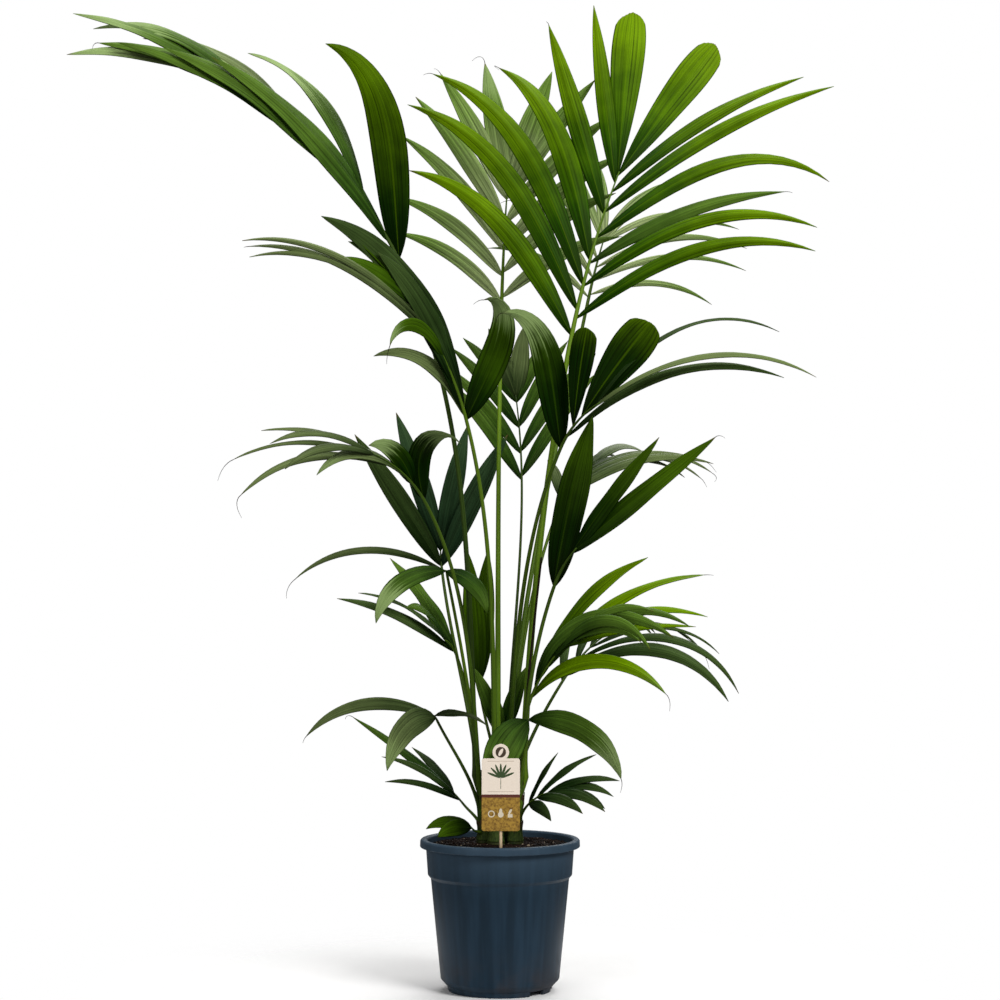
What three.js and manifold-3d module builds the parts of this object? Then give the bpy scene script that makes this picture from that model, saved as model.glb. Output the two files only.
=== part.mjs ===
// A kentia palm in a round nursery pot: a clump of four young palms that share one pot.
// Each palm is a short sheathed stem, and each of its leaves is a tapering stalk that carries a
// frond: a rib with leaflets down both sides and a broader pair at its tip.
// Millimetres, +Z up. The origin is the centre of the pot's flat underside.

import * as THREE from "three";
import { mergeVertices } from "three/addons/utils/BufferGeometryUtils.js";
import Module from "manifold-3d";

const wasm = await Module();
wasm.setup();

// ---------------------------------------------------------------- driving dimensions

const seat = 0.3; // the gap left where two pieces rest on each other
const finest = 0.5; // half width of a leaflet where it runs out to nothing

const pot = {
  rimRadius: 105,
  height: 198,
  lip: 10, // height of the turned-down rim
  lipThickness: 2.4,
  wall: 2.2,
  neckRadius: 97.2, // outside, just under the rim
  collarRadius: 94.7, // outside, at the foot of the collar
  collarFoot: 151.5,
  shoulderRadius: 90.8, // outside, under the step below the collar
  shoulder: 148,
  bodyFootRadius: 78,
  bodyFoot: 16.4,
  footRadius: 69,
  footTop: 6.5,
  footWidth: 4.5,
  padRadius: 28, // the flat middle of the underside, which stands level with the foot
  drainRing: 50,
  drainRadius: 5,
  drains: 8,
  facets: 28,
};
const footNotches = [
  { centre: 44.5, width: 20 }, // degrees round from the front, towards +X
  { centre: 84, width: 22 },
  { centre: 224.5, width: 20 },
  { centre: 264, width: 22 },
];

const soil = { level: 192, edge: 189, flatRadius: 50, edgeRadius: 94 };

const label = {
  width: 49,
  body: 93, // height of the square part
  headRadius: 10.6,
  headRise: 8, // the head's centre above the shoulders
  corner: 3,
  thickness: 1,
  bottom: 218.5,
  place: [1, -88],
  stickRadius: 2,
  stickTop: 296,
};

const stemShape = { flareRadius: 12, radius: 8.5, topRadius: 5.5, sides: 10, steps: 5 };
const stems = {
  left: { foot: [-20, 6], top: [-29, 10], height: 96 },
  middle: { foot: [-5, -14], top: [-3, -20], height: 100 },
  back: { foot: [6, 14], top: [9, 22], height: 108 },
  right: { foot: [20, -6], top: [27, -9], height: 98 },
};

const stalkShape = { sides: 5, step: 150, ribStep: 60, collarShare: 0.62, apexRadius: 0.9 };
const leafletShape = {
  steps: 5,
  straightSteps: 4, // for one that droops less than straight, in degrees
  straight: 30,
  lateSteps: 7, // for one that turns over near its tip, by its bend
  lateBend: 2.5,
  fineSteps: 20, // steps in which a leaflet's line is followed
  base: 0.7, // how soon a leaflet widens and how soon it narrows to its point
  point: 0.9,
  bluntBase: 0.9, // the same for one with a blunt end
  bluntPoint: 0.28,
};

// Every frond is told by its stem, the height at which its stalk leaves it, the stalk's radius
// there, the collar where its leaflets begin, the apex of its rib, and the way its face looks.
// Left and right are those of a frond seen on its face with its apex up. A row of leaflets is told
// at the collar and at the apex: reach is their length (collar, middle, apex), sweep their angle to
// the rib and lift their angle above its face, droop how far they turn to the ground, all in
// degrees, and width their widest breadth. A lone leaflet is told by the way it sets out, aim.
const LEFT = -1;
const RIGHT = 1;

// The two leaflets at the end of a rib.
const pair = ({ spread, lift = 8, ...shape }) => [LEFT, RIGHT].map((side) => lone({
  side, at: 0.97, sweep: spread, lift, ...shape,
}));

// One leaflet that stands in no row.
const lone = ({ at, reach, sweep = 0, droop, width, ...shape }) => ({
  count: 1,
  from: at,
  to: at,
  reach: [reach, reach, reach],
  sweep: [sweep, sweep],
  droop: [droop, droop],
  width: [width, width],
  ...shape,
});

const fronds = {
  tall_right: {
    stem: "right", exit: 88, girth: 5.2, tone: "fresh",
    collar: [92, 20, 847], apex: [160, 80, 1083], face: [0.05, -1, 0.3],
    leaflets: [
      { side: LEFT, count: 4, from: 0.05, to: 0.47, reach: [335, 385, 340], sweep: [37, 27],
        droop: [56, 62], bend: 2, width: [29, 33] },
      { side: LEFT, count: 2, from: 0.74, to: 0.93, reach: [285, 270, 262], sweep: [31, 25],
        droop: [2, 0], width: [29, 24] },
      { side: RIGHT, count: 2, from: 0.14, to: 0.32, reach: [345, 350, 353], sweep: [42, 40],
        droop: [54, 60], bend: 1.6, width: [19, 19] },
      lone({ side: RIGHT, at: 0.45, sweep: 43, reach: 280, droop: 32, width: 19 }),
      lone({ side: RIGHT, at: 0.6, sweep: 33, reach: 357, droop: 84, bend: 2.2, width: 21 }),
      { side: RIGHT, count: 2, from: 0.75, to: 0.87, reach: [385, 351, 318], sweep: [32, 25],
        droop: [26, 25], width: [20, 19] },
      ...pair({ spread: 15, lift: 0, reach: 258, droop: 4, width: 46, blunt: true }),
    ],
  },
  tall_back: {
    stem: "middle", exit: 92, girth: 4.2, tone: "middle",
    collar: [2, 120, 905], apex: [10, 170, 1070], face: [0, -1, 0.2],
    leaflets: [
      { side: LEFT, count: 5, reach: [185, 220, 218], sweep: [42, 25], droop: [44, 12], width: [20, 27] },
      { side: RIGHT, count: 5, reach: [185, 220, 222], sweep: [42, 28], droop: [40, 12], width: [20, 27] },
      ...pair({ spread: 12, reach: 200, droop: 4, width: 33 }),
    ],
  },
  back_right: {
    stem: "back", exit: 98, girth: 3.8, tone: "middle",
    collar: [124, 260, 924], apex: [149, 320, 1017], face: [0.1, -0.9, 0.5],
    leaflets: [
      { side: LEFT, count: 4, reach: [180, 200, 190], sweep: [50, 25], droop: [50, 20], width: [12, 13] },
      { side: RIGHT, count: 5, reach: [190, 255, 220], sweep: [55, 30], droop: [55, 48], width: [11, 13] },
      ...pair({ spread: 14, reach: 160, droop: 20, width: 19 }),
    ],
  },
  arch_left: {
    stem: "left", exit: 88, girth: 4.2, tone: "middle",
    collar: [-128, -60, 947], apex: [-342, -150, 1170], face: [0.55, -0.6, 0.55],
    leaflets: [
      lone({ side: LEFT, at: 0.02, aim: [-0.06, -0.2, 1], towards: [-1, -0.3, -0.1], bend: 3.6,
        facing: [0.3, -1, 0.1], reach: 300, droop: 80, width: 48 }),
      { side: LEFT, count: 4, from: 0.1, to: 0.8, reach: [345, 310, 250], sweep: [5, 8], lift: 12,
        droop: [34, 30], width: [42, 28] },
      lone({ side: RIGHT, at: 0.28, sweep: 28, lift: 12, reach: 290, droop: 62, bend: 1.6, width: 34 }),
      lone({ side: RIGHT, at: 0.6, sweep: 12, lift: 12, reach: 262, droop: 62, bend: 1.6, width: 28 }),
      lone({ side: RIGHT, at: 0.88, sweep: 16, lift: 12, reach: 225, droop: 60, bend: 1.6, width: 24 }),
      ...pair({ spread: 8, reach: 225, droop: 34, width: 22 }),
    ],
  },
  reach_left: {
    stem: "middle", exit: 78, girth: 3.8, tone: "deep",
    collar: [-42, -90, 740], apex: [-110, -150, 890], face: [0.35, -0.7, 0.6],
    leaflets: [
      lone({ side: LEFT, at: 0.05, aim: [-0.34, -0.2, 0.9], reach: 170, droop: 84, width: 20 }),
      lone({ side: LEFT, at: 0.08, aim: [-0.24, -0.2, 0.92], reach: 345, droop: 58, width: 42 }),
      lone({ side: LEFT, at: 0.5, aim: [-0.4, -0.5, 0.85], reach: 140, droop: 132, bend: 1.6, width: 19 }),
      { side: LEFT, count: 3, from: 0.64, to: 0.88, reach: [342, 350, 312], sweep: [17, 24],
        droop: [50, 50], width: [11, 9] },
      lone({ side: RIGHT, at: 0.03, aim: [0.43, -0.1, 0.9], towards: [-0.8, -0.3, -0.7], bend: 4,
        facing: [0.2, -1, 0.3], reach: 195, droop: 165, width: 38 }),
      { side: RIGHT, count: 2, from: 0.3, to: 0.75, reach: [215, 180, 170], sweep: [2, 8],
        droop: [36, 50], width: [36, 28] },
      ...pair({ spread: 10, reach: 150, droop: 44, width: 22 }),
    ],
  },
  back_low: {
    stem: "back", exit: 86, girth: 2.6, tone: "middle",
    collar: [30, 190, 666], apex: [22, 250, 790], face: [0, -1, 0.25],
    leaflets: [
      { side: LEFT, count: 4, reach: [200, 175, 135], sweep: [27, 25], droop: [20, 16], width: [20, 19] },
      { side: RIGHT, count: 4, reach: [205, 175, 130], sweep: [29, 26], droop: [20, 16], width: [20, 19] },
      ...pair({ spread: 12, reach: 120, droop: 8, width: 27 }),
    ],
  },
  front_right: {
    stem: "back", exit: 74, girth: 3.6, tone: "deep",
    collar: [76, -110, 706], apex: [125, -170, 764], face: [-0.2, -0.75, 0.6],
    leaflets: [
      lone({ side: LEFT, at: 0.03, aim: [-0.12, -0.1, 0.95], towards: [-0.9, -0.4, -0.6], bend: 4,
        facing: [0.1, -1, 0.2], reach: 208, droop: 120, width: 40 }),
      lone({ side: LEFT, at: 0.4, aim: [0.1, -0.05, 0.95], facing: [0.1, -1, 0.2], reach: 124, droop: 6,
        width: 32, blunt: true }),
      lone({ side: RIGHT, at: 0.6, aim: [0.54, 0, 0.82], facing: [-0.1, -1, 0.2], reach: 148, droop: 8,
        width: 52, blunt: true }),
      lone({ side: RIGHT, at: 0.2, aim: [0.72, -0.15, 0.68], reach: 318, droop: 66, width: 16 }),
      lone({ side: RIGHT, at: 0.75, aim: [0.78, -0.1, 0.6], reach: 300, droop: 68, width: 13 }),
      lone({ side: RIGHT, at: 0.9, aim: [0.56, 0.25, 0.8], reach: 304, droop: 84, width: 12 }),
    ],
  },
  fan_right: {
    stem: "right", exit: 70, girth: 3.6, tone: "deep",
    collar: [68, -120, 531], apex: [96, -160, 582], face: [-0.2, -0.9, 0.4],
    leaflets: [
      lone({ side: LEFT, at: 0.02, aim: [0.17, -0.05, 0.95], reach: 222, droop: 6, width: 47 }),
      lone({ side: LEFT, at: 0.8, aim: [0.54, -0.1, 0.8], reach: 188, droop: 6, width: 25 }),
      lone({ side: RIGHT, at: 0.85, aim: [0.74, -0.15, 0.65], reach: 228, droop: 5, width: 27 }),
    ],
  },
  side_right: {
    stem: "back", exit: 62, girth: 3.2, tone: "middle",
    collar: [84, 150, 640], apex: [128, 210, 692], face: [-0.1, -0.8, 0.6],
    leaflets: [
      { side: LEFT, count: 3, reach: [90, 120, 130], sweep: [30, 14], droop: [40, 60], width: [16, 14] },
      { side: RIGHT, count: 4, reach: [235, 240, 230], sweep: [30, 14], droop: [50, 54], width: [16, 14] },
      ...pair({ spread: 12, reach: 190, droop: 50, width: 18 }),
    ],
  },
  arch_low_left: {
    stem: "left", exit: 72, girth: 3.4, tone: "deep",
    collar: [-93, -140, 637], apex: [-158, -200, 700], face: [0.5, -0.5, 0.7],
    leaflets: [
      lone({ side: RIGHT, at: 0.06, aim: [-0.26, -0.1, 0.95], towards: [0.5, -0.1, -0.86], bend: 1.6,
        facing: [0.2, -1, 0.1], reach: 142, droop: 165, width: 32 }),
      lone({ side: RIGHT, at: 0.3, aim: [-0.32, -0.4, 0.85], towards: [-0.9, -0.4, -0.5], bend: 2,
        facing: [0.3, -1, 0.3], reach: 92, droop: 120, width: 26 }),
      lone({ side: LEFT, at: 0.4, aim: [-0.64, -0.5, 0.66], reach: 154, droop: 96, width: 19 }),
      lone({ side: LEFT, at: 0.66, aim: [-0.85, -0.4, 0.28], reach: 228, droop: 72, width: 14 }),
      lone({ side: LEFT, at: 0.85, aim: [-0.9, -0.15, 0.34], reach: 192, droop: 52, width: 11 }),
      lone({ side: RIGHT, at: 0.8, aim: [-0.84, -0.15, 0.5], reach: 168, droop: 44, width: 13 }),
      ...pair({ spread: 9, reach: 150, droop: 58, width: 13 }),
    ],
  },
  dark_left: {
    stem: "left", exit: 62, girth: 3.2, tone: "deep",
    collar: [-77, 70, 543], apex: [-80, 84, 578], face: [0, -0.9, 0.3],
    leaflets: [
      lone({ side: LEFT, at: 0.3, aim: [-0.52, 0.04, 0.84], reach: 206, droop: 4, width: 28 }),
      lone({ side: RIGHT, at: 0.3, aim: [0.4, 0.02, 0.9], reach: 196, droop: 6, width: 29 }),
      lone({ side: LEFT, at: 0.2, aim: [-0.88, -0.1, 0.42], reach: 212, droop: 77, width: 10 }),
      lone({ side: LEFT, at: 0.9, aim: [-0.28, 0.1, 0.95], reach: 190, droop: 4, width: 28 }),
      lone({ side: RIGHT, at: 0.9, aim: [0.18, 0.1, 0.96], reach: 168, droop: 4, width: 28 }),
    ],
  },
  hanging_left: {
    stem: "left", exit: 52, girth: 3, tone: "middle",
    collar: [-68, -60, 544], apex: [-70, -66, 552], face: [-0.2, -0.85, 0.5],
    leaflets: [
      lone({ side: LEFT, at: 0.9, aim: [-0.86, -0.38, 0], facing: [0.1, -1, 0.6], reach: 126, droop: 84,
        width: 26 }),
      lone({ side: RIGHT, at: 0.9, aim: [0.72, -0.45, -0.16], facing: [0.2, -1, 0.6], reach: 88, droop: 72,
        width: 24 }),
    ],
  },
  low_left: {
    stem: "left", exit: 44, girth: 3, tone: "middle",
    collar: [-57, -30, 441], apex: [-72, -56, 462], face: [0.2, -0.7, 0.6],
    leaflets: [
      lone({ side: LEFT, at: 0.1, aim: [-0.77, -0.15, 0.62], reach: 178, droop: 36, width: 15 }),
      lone({ side: LEFT, at: 0.6, aim: [-0.62, 0, 0.7], reach: 140, droop: 44, width: 15 }),
      lone({ side: RIGHT, at: 0.1, aim: [-0.43, 0.1, 0.87], reach: 152, droop: 20, width: 31 }),
      lone({ side: RIGHT, at: 0.9, aim: [-0.3, -0.6, 0.7], reach: 120, droop: 60, width: 18 }),
    ],
  },
  upright_pair: {
    stem: "back", exit: 50, girth: 2.8, tone: "deep",
    collar: [-27, 60, 389], apex: [-28, 62, 399], face: [0, -1, 0.1],
    leaflets: [
      lone({ side: LEFT, at: 0.9, aim: [-0.07, -0.03, 1], reach: 172, droop: 2, width: 30 }),
      lone({ side: RIGHT, at: 0.9, aim: [0.06, 0.1, 1], reach: 182, droop: 2, width: 30 }),
    ],
  },
  low_right_front: {
    stem: "right", exit: 54, girth: 3.4, tone: "fresh",
    collar: [38, -32, 378], apex: [86, -86, 458], face: [-0.4, -0.7, 0.7],
    leaflets: [
      lone({ side: LEFT, at: 0.2, aim: [0.16, -0.35, 0.95], towards: [0.8, -0.3, -0.8], bend: 1,
        reach: 264, droop: 124, width: 23 }),
      lone({ side: LEFT, at: 0.35, aim: [0.36, -0.05, 0.92], reach: 218, droop: 50, width: 32 }),
      lone({ side: LEFT, at: 0.7, aim: [0.45, -0.6, 0.7], reach: 215, droop: 90, width: 17 }),
      lone({ side: RIGHT, at: 0.06, aim: [0.53, -0.34, 0.8], bend: 0.95, reach: 230, droop: 108,
        width: 21 }),
      lone({ side: RIGHT, at: 0.5, aim: [0.63, -0.05, 0.82], reach: 258, droop: 48, width: 23 }),
      lone({ side: RIGHT, at: 0.66, aim: [0.6, -0.32, 0.74], reach: 226, droop: 84, width: 15 }),
      lone({ side: RIGHT, at: 0.8, aim: [0.76, -0.15, 0.62], reach: 216, droop: 60, width: 17 }),
      lone({ side: RIGHT, at: 0.92, aim: [0.92, -0.2, 0.36], reach: 178, droop: 26, width: 13 }),
      ...pair({ spread: 9, reach: 160, droop: 58, width: 14 }),
    ],
  },
  low_right_back: {
    stem: "back", exit: 40, girth: 3.2, tone: "middle",
    collar: [81, 60, 397], apex: [148, 130, 462], face: [-0.3, -0.6, 0.8],
    leaflets: [
      { side: LEFT, count: 4, reach: [158, 177, 160], sweep: [26, 12], droop: [50, 60], width: [14, 13] },
      lone({ side: RIGHT, at: 0.12, aim: [0.78, -0.45, 0.56], reach: 272, droop: 93, width: 21 }),
      lone({ side: RIGHT, at: 0.4, aim: [0.84, -0.25, 0.5], reach: 258, droop: 92, width: 15 }),
      { side: RIGHT, count: 2, from: 0.6, reach: [205, 195, 185], sweep: [20, 12], droop: [74, 68],
        width: [12, 11] },
      ...pair({ spread: 12, reach: 150, droop: 60, width: 14 }),
    ],
  },
  bifid_right: {
    stem: "right", exit: 34, girth: 2.8, tone: "middle",
    collar: [36, -44, 350], apex: [37, -46, 358], face: [0.1, -0.85, 0.5],
    leaflets: [
      lone({ side: RIGHT, at: 0.9, aim: [0.93, -0.25, 0.11], bend: 1.1, reach: 158, droop: 84, width: 34 }),
      lone({ side: LEFT, at: 0.9, aim: [-0.31, -0.26, -0.18], facing: [0, -1, 0.3], bend: 0.8, reach: 122,
        droop: 66, width: 47 }),
    ],
  },
  bifid_left: {
    stem: "left", exit: 34, girth: 2.8, tone: "deep",
    collar: [-81, -50, 356], apex: [-85, -56, 364], face: [-0.1, -0.8, 0.6],
    leaflets: [
      lone({ side: LEFT, at: 0.5, aim: [-0.42, -0.6, 0.14], bend: 1, facing: [0.2, -1, 0.3],
        reach: 128, droop: 92, width: 36 }),
      lone({ side: LEFT, at: 0.9, aim: [-0.9, 0.15, 0.34], reach: 186, droop: 72, width: 17 }),
      lone({ side: RIGHT, at: 0.9, aim: [0.85, -0.4, 0.25], reach: 84, droop: 60, width: 20 }),
    ],
  },
  sprout_left: {
    stem: "left", exit: 20, girth: 2.6, tone: "deep",
    collar: [-48, 26, 240], apex: [-62, 30, 256], face: [0.2, -0.7, 0.7],
    leaflets: [
      lone({ side: RIGHT, at: 0.6, aim: [-0.76, 0.15, 0.66], reach: 178, droop: 12, width: 14 }),
      lone({ side: LEFT, at: 0.3, aim: [-0.8, -0.3, 0.5], reach: 112, droop: 34, width: 10 }),
      lone({ side: LEFT, at: 0.7, aim: [-0.7, -0.1, 0.66], reach: 116, droop: 34, width: 10 }),
      lone({ side: RIGHT, at: 0.9, aim: [-0.5, 0.4, 0.7], reach: 96, droop: 26, width: 14 }),
    ],
  },
  sprout_right: {
    stem: "right", exit: 18, girth: 2.6, tone: "deep",
    collar: [36, -36, 246], apex: [63, -52, 264], face: [-0.3, -0.6, 0.8],
    leaflets: [
      { side: LEFT, count: 3, reach: [78, 98, 98], sweep: [36, 12], droop: [20, 46], width: [16, 15] },
      { side: RIGHT, count: 3, reach: [86, 98, 98], sweep: [44, 14], droop: [34, 52], width: [16, 15] },
      ...pair({ spread: 10, reach: 92, droop: 56, width: 15 }),
    ],
  },
  seedling: {
    stem: "left", exit: 10, girth: 2.2, tone: "deep",
    collar: [-35, -18, 212], apex: [-38, -20, 216], face: [-0.1, -0.7, 0.7],
    leaflets: [
      lone({ side: LEFT, at: 0.6, aim: [-0.83, -0.48, 0.2], reach: 54, droop: 52, width: 22 }),
      lone({ side: RIGHT, at: 0.6, aim: [-0.92, 0.1, 0.42], reach: 66, droop: 60, width: 18 }),
    ],
  },
  inner: {
    stem: "middle", exit: 26, girth: 2.2, tone: "middle",
    collar: [2, 16, 322], apex: [3, 18, 334], face: [0, -1, 0.2],
    leaflets: [
      lone({ side: LEFT, at: 0.5, aim: [-0.3, -0.02, 0.94], facing: [0.1, -1, 0.2], reach: 106, droop: 10,
        width: 21 }),
      lone({ side: RIGHT, at: 0.5, aim: [0.27, 0.12, 0.96], facing: [-0.1, -1, 0.2], reach: 98, droop: 8,
        width: 22 }),
      lone({ side: LEFT, at: 0.9, aim: [-0.12, -0.24, 0.95], facing: [0.1, -1, 0.2], reach: 58, droop: 8,
        width: 13 }),
    ],
  },
};

// An old stalk that has lost its frond and dried.
const deadStalk = { stem: "right", exit: 80, girth: 2.6, collar: [54, -30, 568], apex: [57, -31, 590] };

// ---------------------------------------------------------------- materials

const paint = (color, roughness) => new THREE.MeshStandardMaterial({ color, roughness, metalness: 0 });
const materials = {
  pot: paint(0x2b4054, 0.5),
  soil: paint(0x2a1d15, 0.95),
  stem: paint(0x5c6b2a, 0.6),
  stalk: paint(0x4a7a1e, 0.45),
  dead: paint(0x3a2f22, 0.8),
  fresh: paint(0x4d8a12, 0.4),
  middle: paint(0x33661a, 0.42),
  deep: paint(0x17400f, 0.45),
  card: paint(0xe9d9c8, 0.8),
  stick: paint(0xd9b98c, 0.8),
};

// ---------------------------------------------------------------- solids and meshes

// A closed three.js geometry as a manifold solid.
function toSolid(geometry) {
  const bare = geometry.clone();
  bare.deleteAttribute("normal");
  bare.deleteAttribute("uv");
  const merged = mergeVertices(bare, 1e-3);
  const mesh = new wasm.Mesh({
    numProp: 3,
    vertProperties: new Float32Array(merged.getAttribute("position").array),
    triVerts: new Uint32Array(merged.index.array),
  });
  return new wasm.Manifold(mesh);
}

function toGeometry(solid) {
  const mesh = solid.getMesh();
  const geometry = new THREE.BufferGeometry();
  geometry.setAttribute("position", new THREE.BufferAttribute(mesh.vertProperties, 3));
  geometry.setIndex(new THREE.BufferAttribute(mesh.triVerts, 1));
  return geometry;
}

const palm = new THREE.Group();
const placed = []; // every solid that is already in the palm

function place(name, solid, material) {
  const geometry = toGeometry(solid);
  geometry.computeVertexNormals();
  const mesh = new THREE.Mesh(geometry, material);
  mesh.name = name;
  palm.add(mesh);
  placed.push(solid);
}

// A solid of revolution about Z from a closed profile of [radius, height] points.
function turned(profile, facets) {
  const points = profile.map(([radius, height]) => new THREE.Vector2(radius, height));
  return toSolid(new THREE.LatheGeometry(points, facets).rotateX(Math.PI / 2));
}

// A unit cylinder, or a cylinder that ends in a point, with its vertices moved to
// at(along, across, above).
function bent(sides, steps, at, tip = 1) {
  const geometry = new THREE.CylinderGeometry(tip, 1, 1, sides, steps);
  const position = geometry.getAttribute("position");
  for (let i = 0; i < position.count; i += 1) {
    const along = position.getY(i) + 0.5;
    const radius = THREE.MathUtils.lerp(1, tip, along) || 1;
    const moved = at(along, position.getX(i) / radius, position.getZ(i) / radius);
    position.setXYZ(i, moved.x, moved.y, moved.z);
  }
  return toSolid(geometry);
}

// A round limb along a curve, with its radius told by radiusAt(along).
function limb(curve, radiusAt, sides, steps) {
  const { normals, binormals } = curve.computeFrenetFrames(steps);
  return bent(sides, steps, (along, across, above) => {
    const ring = Math.round(along * steps);
    const radius = radiusAt(along);
    return curve
      .getPointAt(along)
      .addScaledVector(binormals[ring], across * radius)
      .addScaledVector(normals[ring], above * radius);
  });
}

// ---------------------------------------------------------------- pot, soil and label

function potSolid() {
  const innerRim = pot.neckRadius - pot.wall;
  const floor = pot.footTop + pot.wall;
  const padEdge = pot.padRadius + 4;
  const shell = turned(
    [
      [0, 0],
      [pot.padRadius, 0],
      [padEdge, pot.footTop],
      [pot.footRadius - pot.footWidth, pot.footTop],
      [pot.footRadius - pot.footWidth, 0],
      [pot.footRadius - 1, 0],
      [pot.footRadius + 0.6, pot.footTop],
      [pot.bodyFootRadius - 1, pot.bodyFoot - 2],
      [pot.bodyFootRadius, pot.bodyFoot],
      [pot.shoulderRadius, pot.shoulder - 1],
      [pot.shoulderRadius + 0.8, pot.shoulder],
      [pot.collarRadius, pot.collarFoot],
      [pot.neckRadius, pot.height - pot.lip],
      [pot.neckRadius, pot.height - pot.lipThickness],
      [pot.rimRadius - pot.lipThickness, pot.height - pot.lipThickness],
      [pot.rimRadius - pot.lipThickness, pot.height - pot.lip],
      [pot.rimRadius - 0.4, pot.height - pot.lip],
      [pot.rimRadius, pot.height - pot.lip + 1],
      [pot.rimRadius - 0.3, pot.height - 2],
      [pot.rimRadius - 2, pot.height],
      [innerRim + 2, pot.height],
      [innerRim, pot.height - 2],
      [pot.collarRadius - pot.wall, pot.collarFoot],
      [pot.shoulderRadius - pot.wall, pot.shoulder],
      [pot.bodyFootRadius - pot.wall, pot.bodyFoot],
      [pot.footRadius, floor],
      [padEdge, floor],
      [pot.padRadius, pot.wall],
      [0, pot.wall],
    ],
    pot.facets,
  );
  return footNotches.reduce((solid, notch) => solid.subtract(notchCut(notch)), drained(shell));
}

// The wedge that a notch takes out of the foot, under the pot's floor.
function notchCut({ centre, width }) {
  const angle = THREE.MathUtils.degToRad(centre - 90);
  const across = 2 * pot.footRadius * Math.sin(THREE.MathUtils.degToRad(width / 2));
  const deep = 3 * pot.footWidth;
  const block = new THREE.BoxGeometry(deep, across, 2 * (pot.footTop - 0.5))
    .translate(pot.footRadius - pot.footWidth / 2, 0, 0)
    .rotateZ(angle);
  return toSolid(block);
}

function drained(shell) {
  let solid = shell;
  for (let i = 0; i < pot.drains; i += 1) {
    const hole = new THREE.CylinderGeometry(pot.drainRadius, pot.drainRadius, 4 * pot.wall, 8)
      .rotateX(Math.PI / 2)
      .translate(pot.drainRing, 0, pot.footTop)
      .rotateZ(((i + 0.5) / pot.drains) * 2 * Math.PI);
    solid = solid.subtract(toSolid(hole));
  }
  return solid;
}

function soilSolid() {
  const clear = pot.wall + seat;
  const floor = pot.footTop + clear;
  return turned(
    [
      [0, clear],
      [pot.padRadius - seat, clear],
      [pot.padRadius + 4 - seat, floor],
      [pot.footRadius - 1, floor],
      [pot.bodyFootRadius - clear - 0.2, pot.bodyFoot + 0.5],
      [pot.shoulderRadius - clear - 0.2, pot.shoulder + 0.5],
      [pot.collarRadius - clear - 0.2, pot.collarFoot + 0.5],
      [soil.edgeRadius, soil.edge],
      [soil.flatRadius, soil.level],
      [0, soil.level],
    ],
    pot.facets,
  );
}

// The label's outline: a card with rounded corners and a round head on its upper edge.
function labelSolid() {
  const { width, body, corner, headRadius, headRise, thickness } = label;
  const half = width / 2;
  const neck = Math.sqrt(headRadius ** 2 - headRise ** 2);
  const start = Math.asin(headRise / headRadius);
  const outline = new THREE.Shape();
  outline.moveTo(-half + corner, 0);
  outline.lineTo(half - corner, 0);
  outline.absarc(half - corner, corner, corner, -Math.PI / 2, 0);
  outline.lineTo(half, body - corner);
  outline.absarc(half - corner, body - corner, corner, 0, Math.PI / 2);
  outline.lineTo(neck, body);
  outline.absarc(0, body + headRise, headRadius, -start, Math.PI + start);
  outline.lineTo(-half + corner, body);
  outline.absarc(-half + corner, body - corner, corner, Math.PI / 2, Math.PI);
  outline.lineTo(-half, corner);
  outline.absarc(-half + corner, corner, corner, Math.PI, 1.5 * Math.PI);
  const card = new THREE.ExtrudeGeometry(outline, {
    depth: thickness,
    bevelEnabled: false,
    curveSegments: 5,
  });
  card.rotateX(Math.PI / 2).translate(label.place[0], label.place[1], label.bottom);
  return toSolid(card);
}

function labelStickSolid() {
  const { place: [x, y], stickRadius, stickTop } = label;
  const middle = y + stickRadius + seat;
  const out = (-middle - soil.flatRadius) / (soil.edgeRadius - soil.flatRadius);
  const foot = THREE.MathUtils.lerp(soil.level, soil.edge, out) + 2 * seat;
  const stick = new THREE.CylinderGeometry(stickRadius, stickRadius, stickTop - foot, 8);
  stick.rotateX(Math.PI / 2).translate(x, middle, (stickTop + foot) / 2);
  return toSolid(stick);
}

// ---------------------------------------------------------------- stems and stalks

const vector = (values) => new THREE.Vector3(...values);
const up = new THREE.Vector3(0, 0, 1);

function stemCurve({ foot, top, height }) {
  const base = new THREE.Vector3(foot[0], foot[1], soil.level + seat);
  const tip = new THREE.Vector3(top[0], top[1], soil.level + height);
  const bend = new THREE.Vector3(foot[0], foot[1], soil.level + height / 2);
  return new THREE.QuadraticBezierCurve3(base, bend, tip);
}

// The stem widens to its root flare over the lowest fifth.
function stemRadius(along) {
  const { flareRadius, radius, topRadius } = stemShape;
  const flare = (flareRadius - radius) * Math.max(0, 1 - along / 0.25) ** 2;
  return THREE.MathUtils.lerp(radius, topRadius, along) + flare;
}

// A stem, or with extra radius the room that must stay clear round it. Its foot is cut level.
function stemSolid(stem, extra) {
  const curve = stemCurve(stem);
  const { sides, steps } = stemShape;
  return limb(curve, (along) => stemRadius(along) + extra, sides, steps);
}

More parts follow.
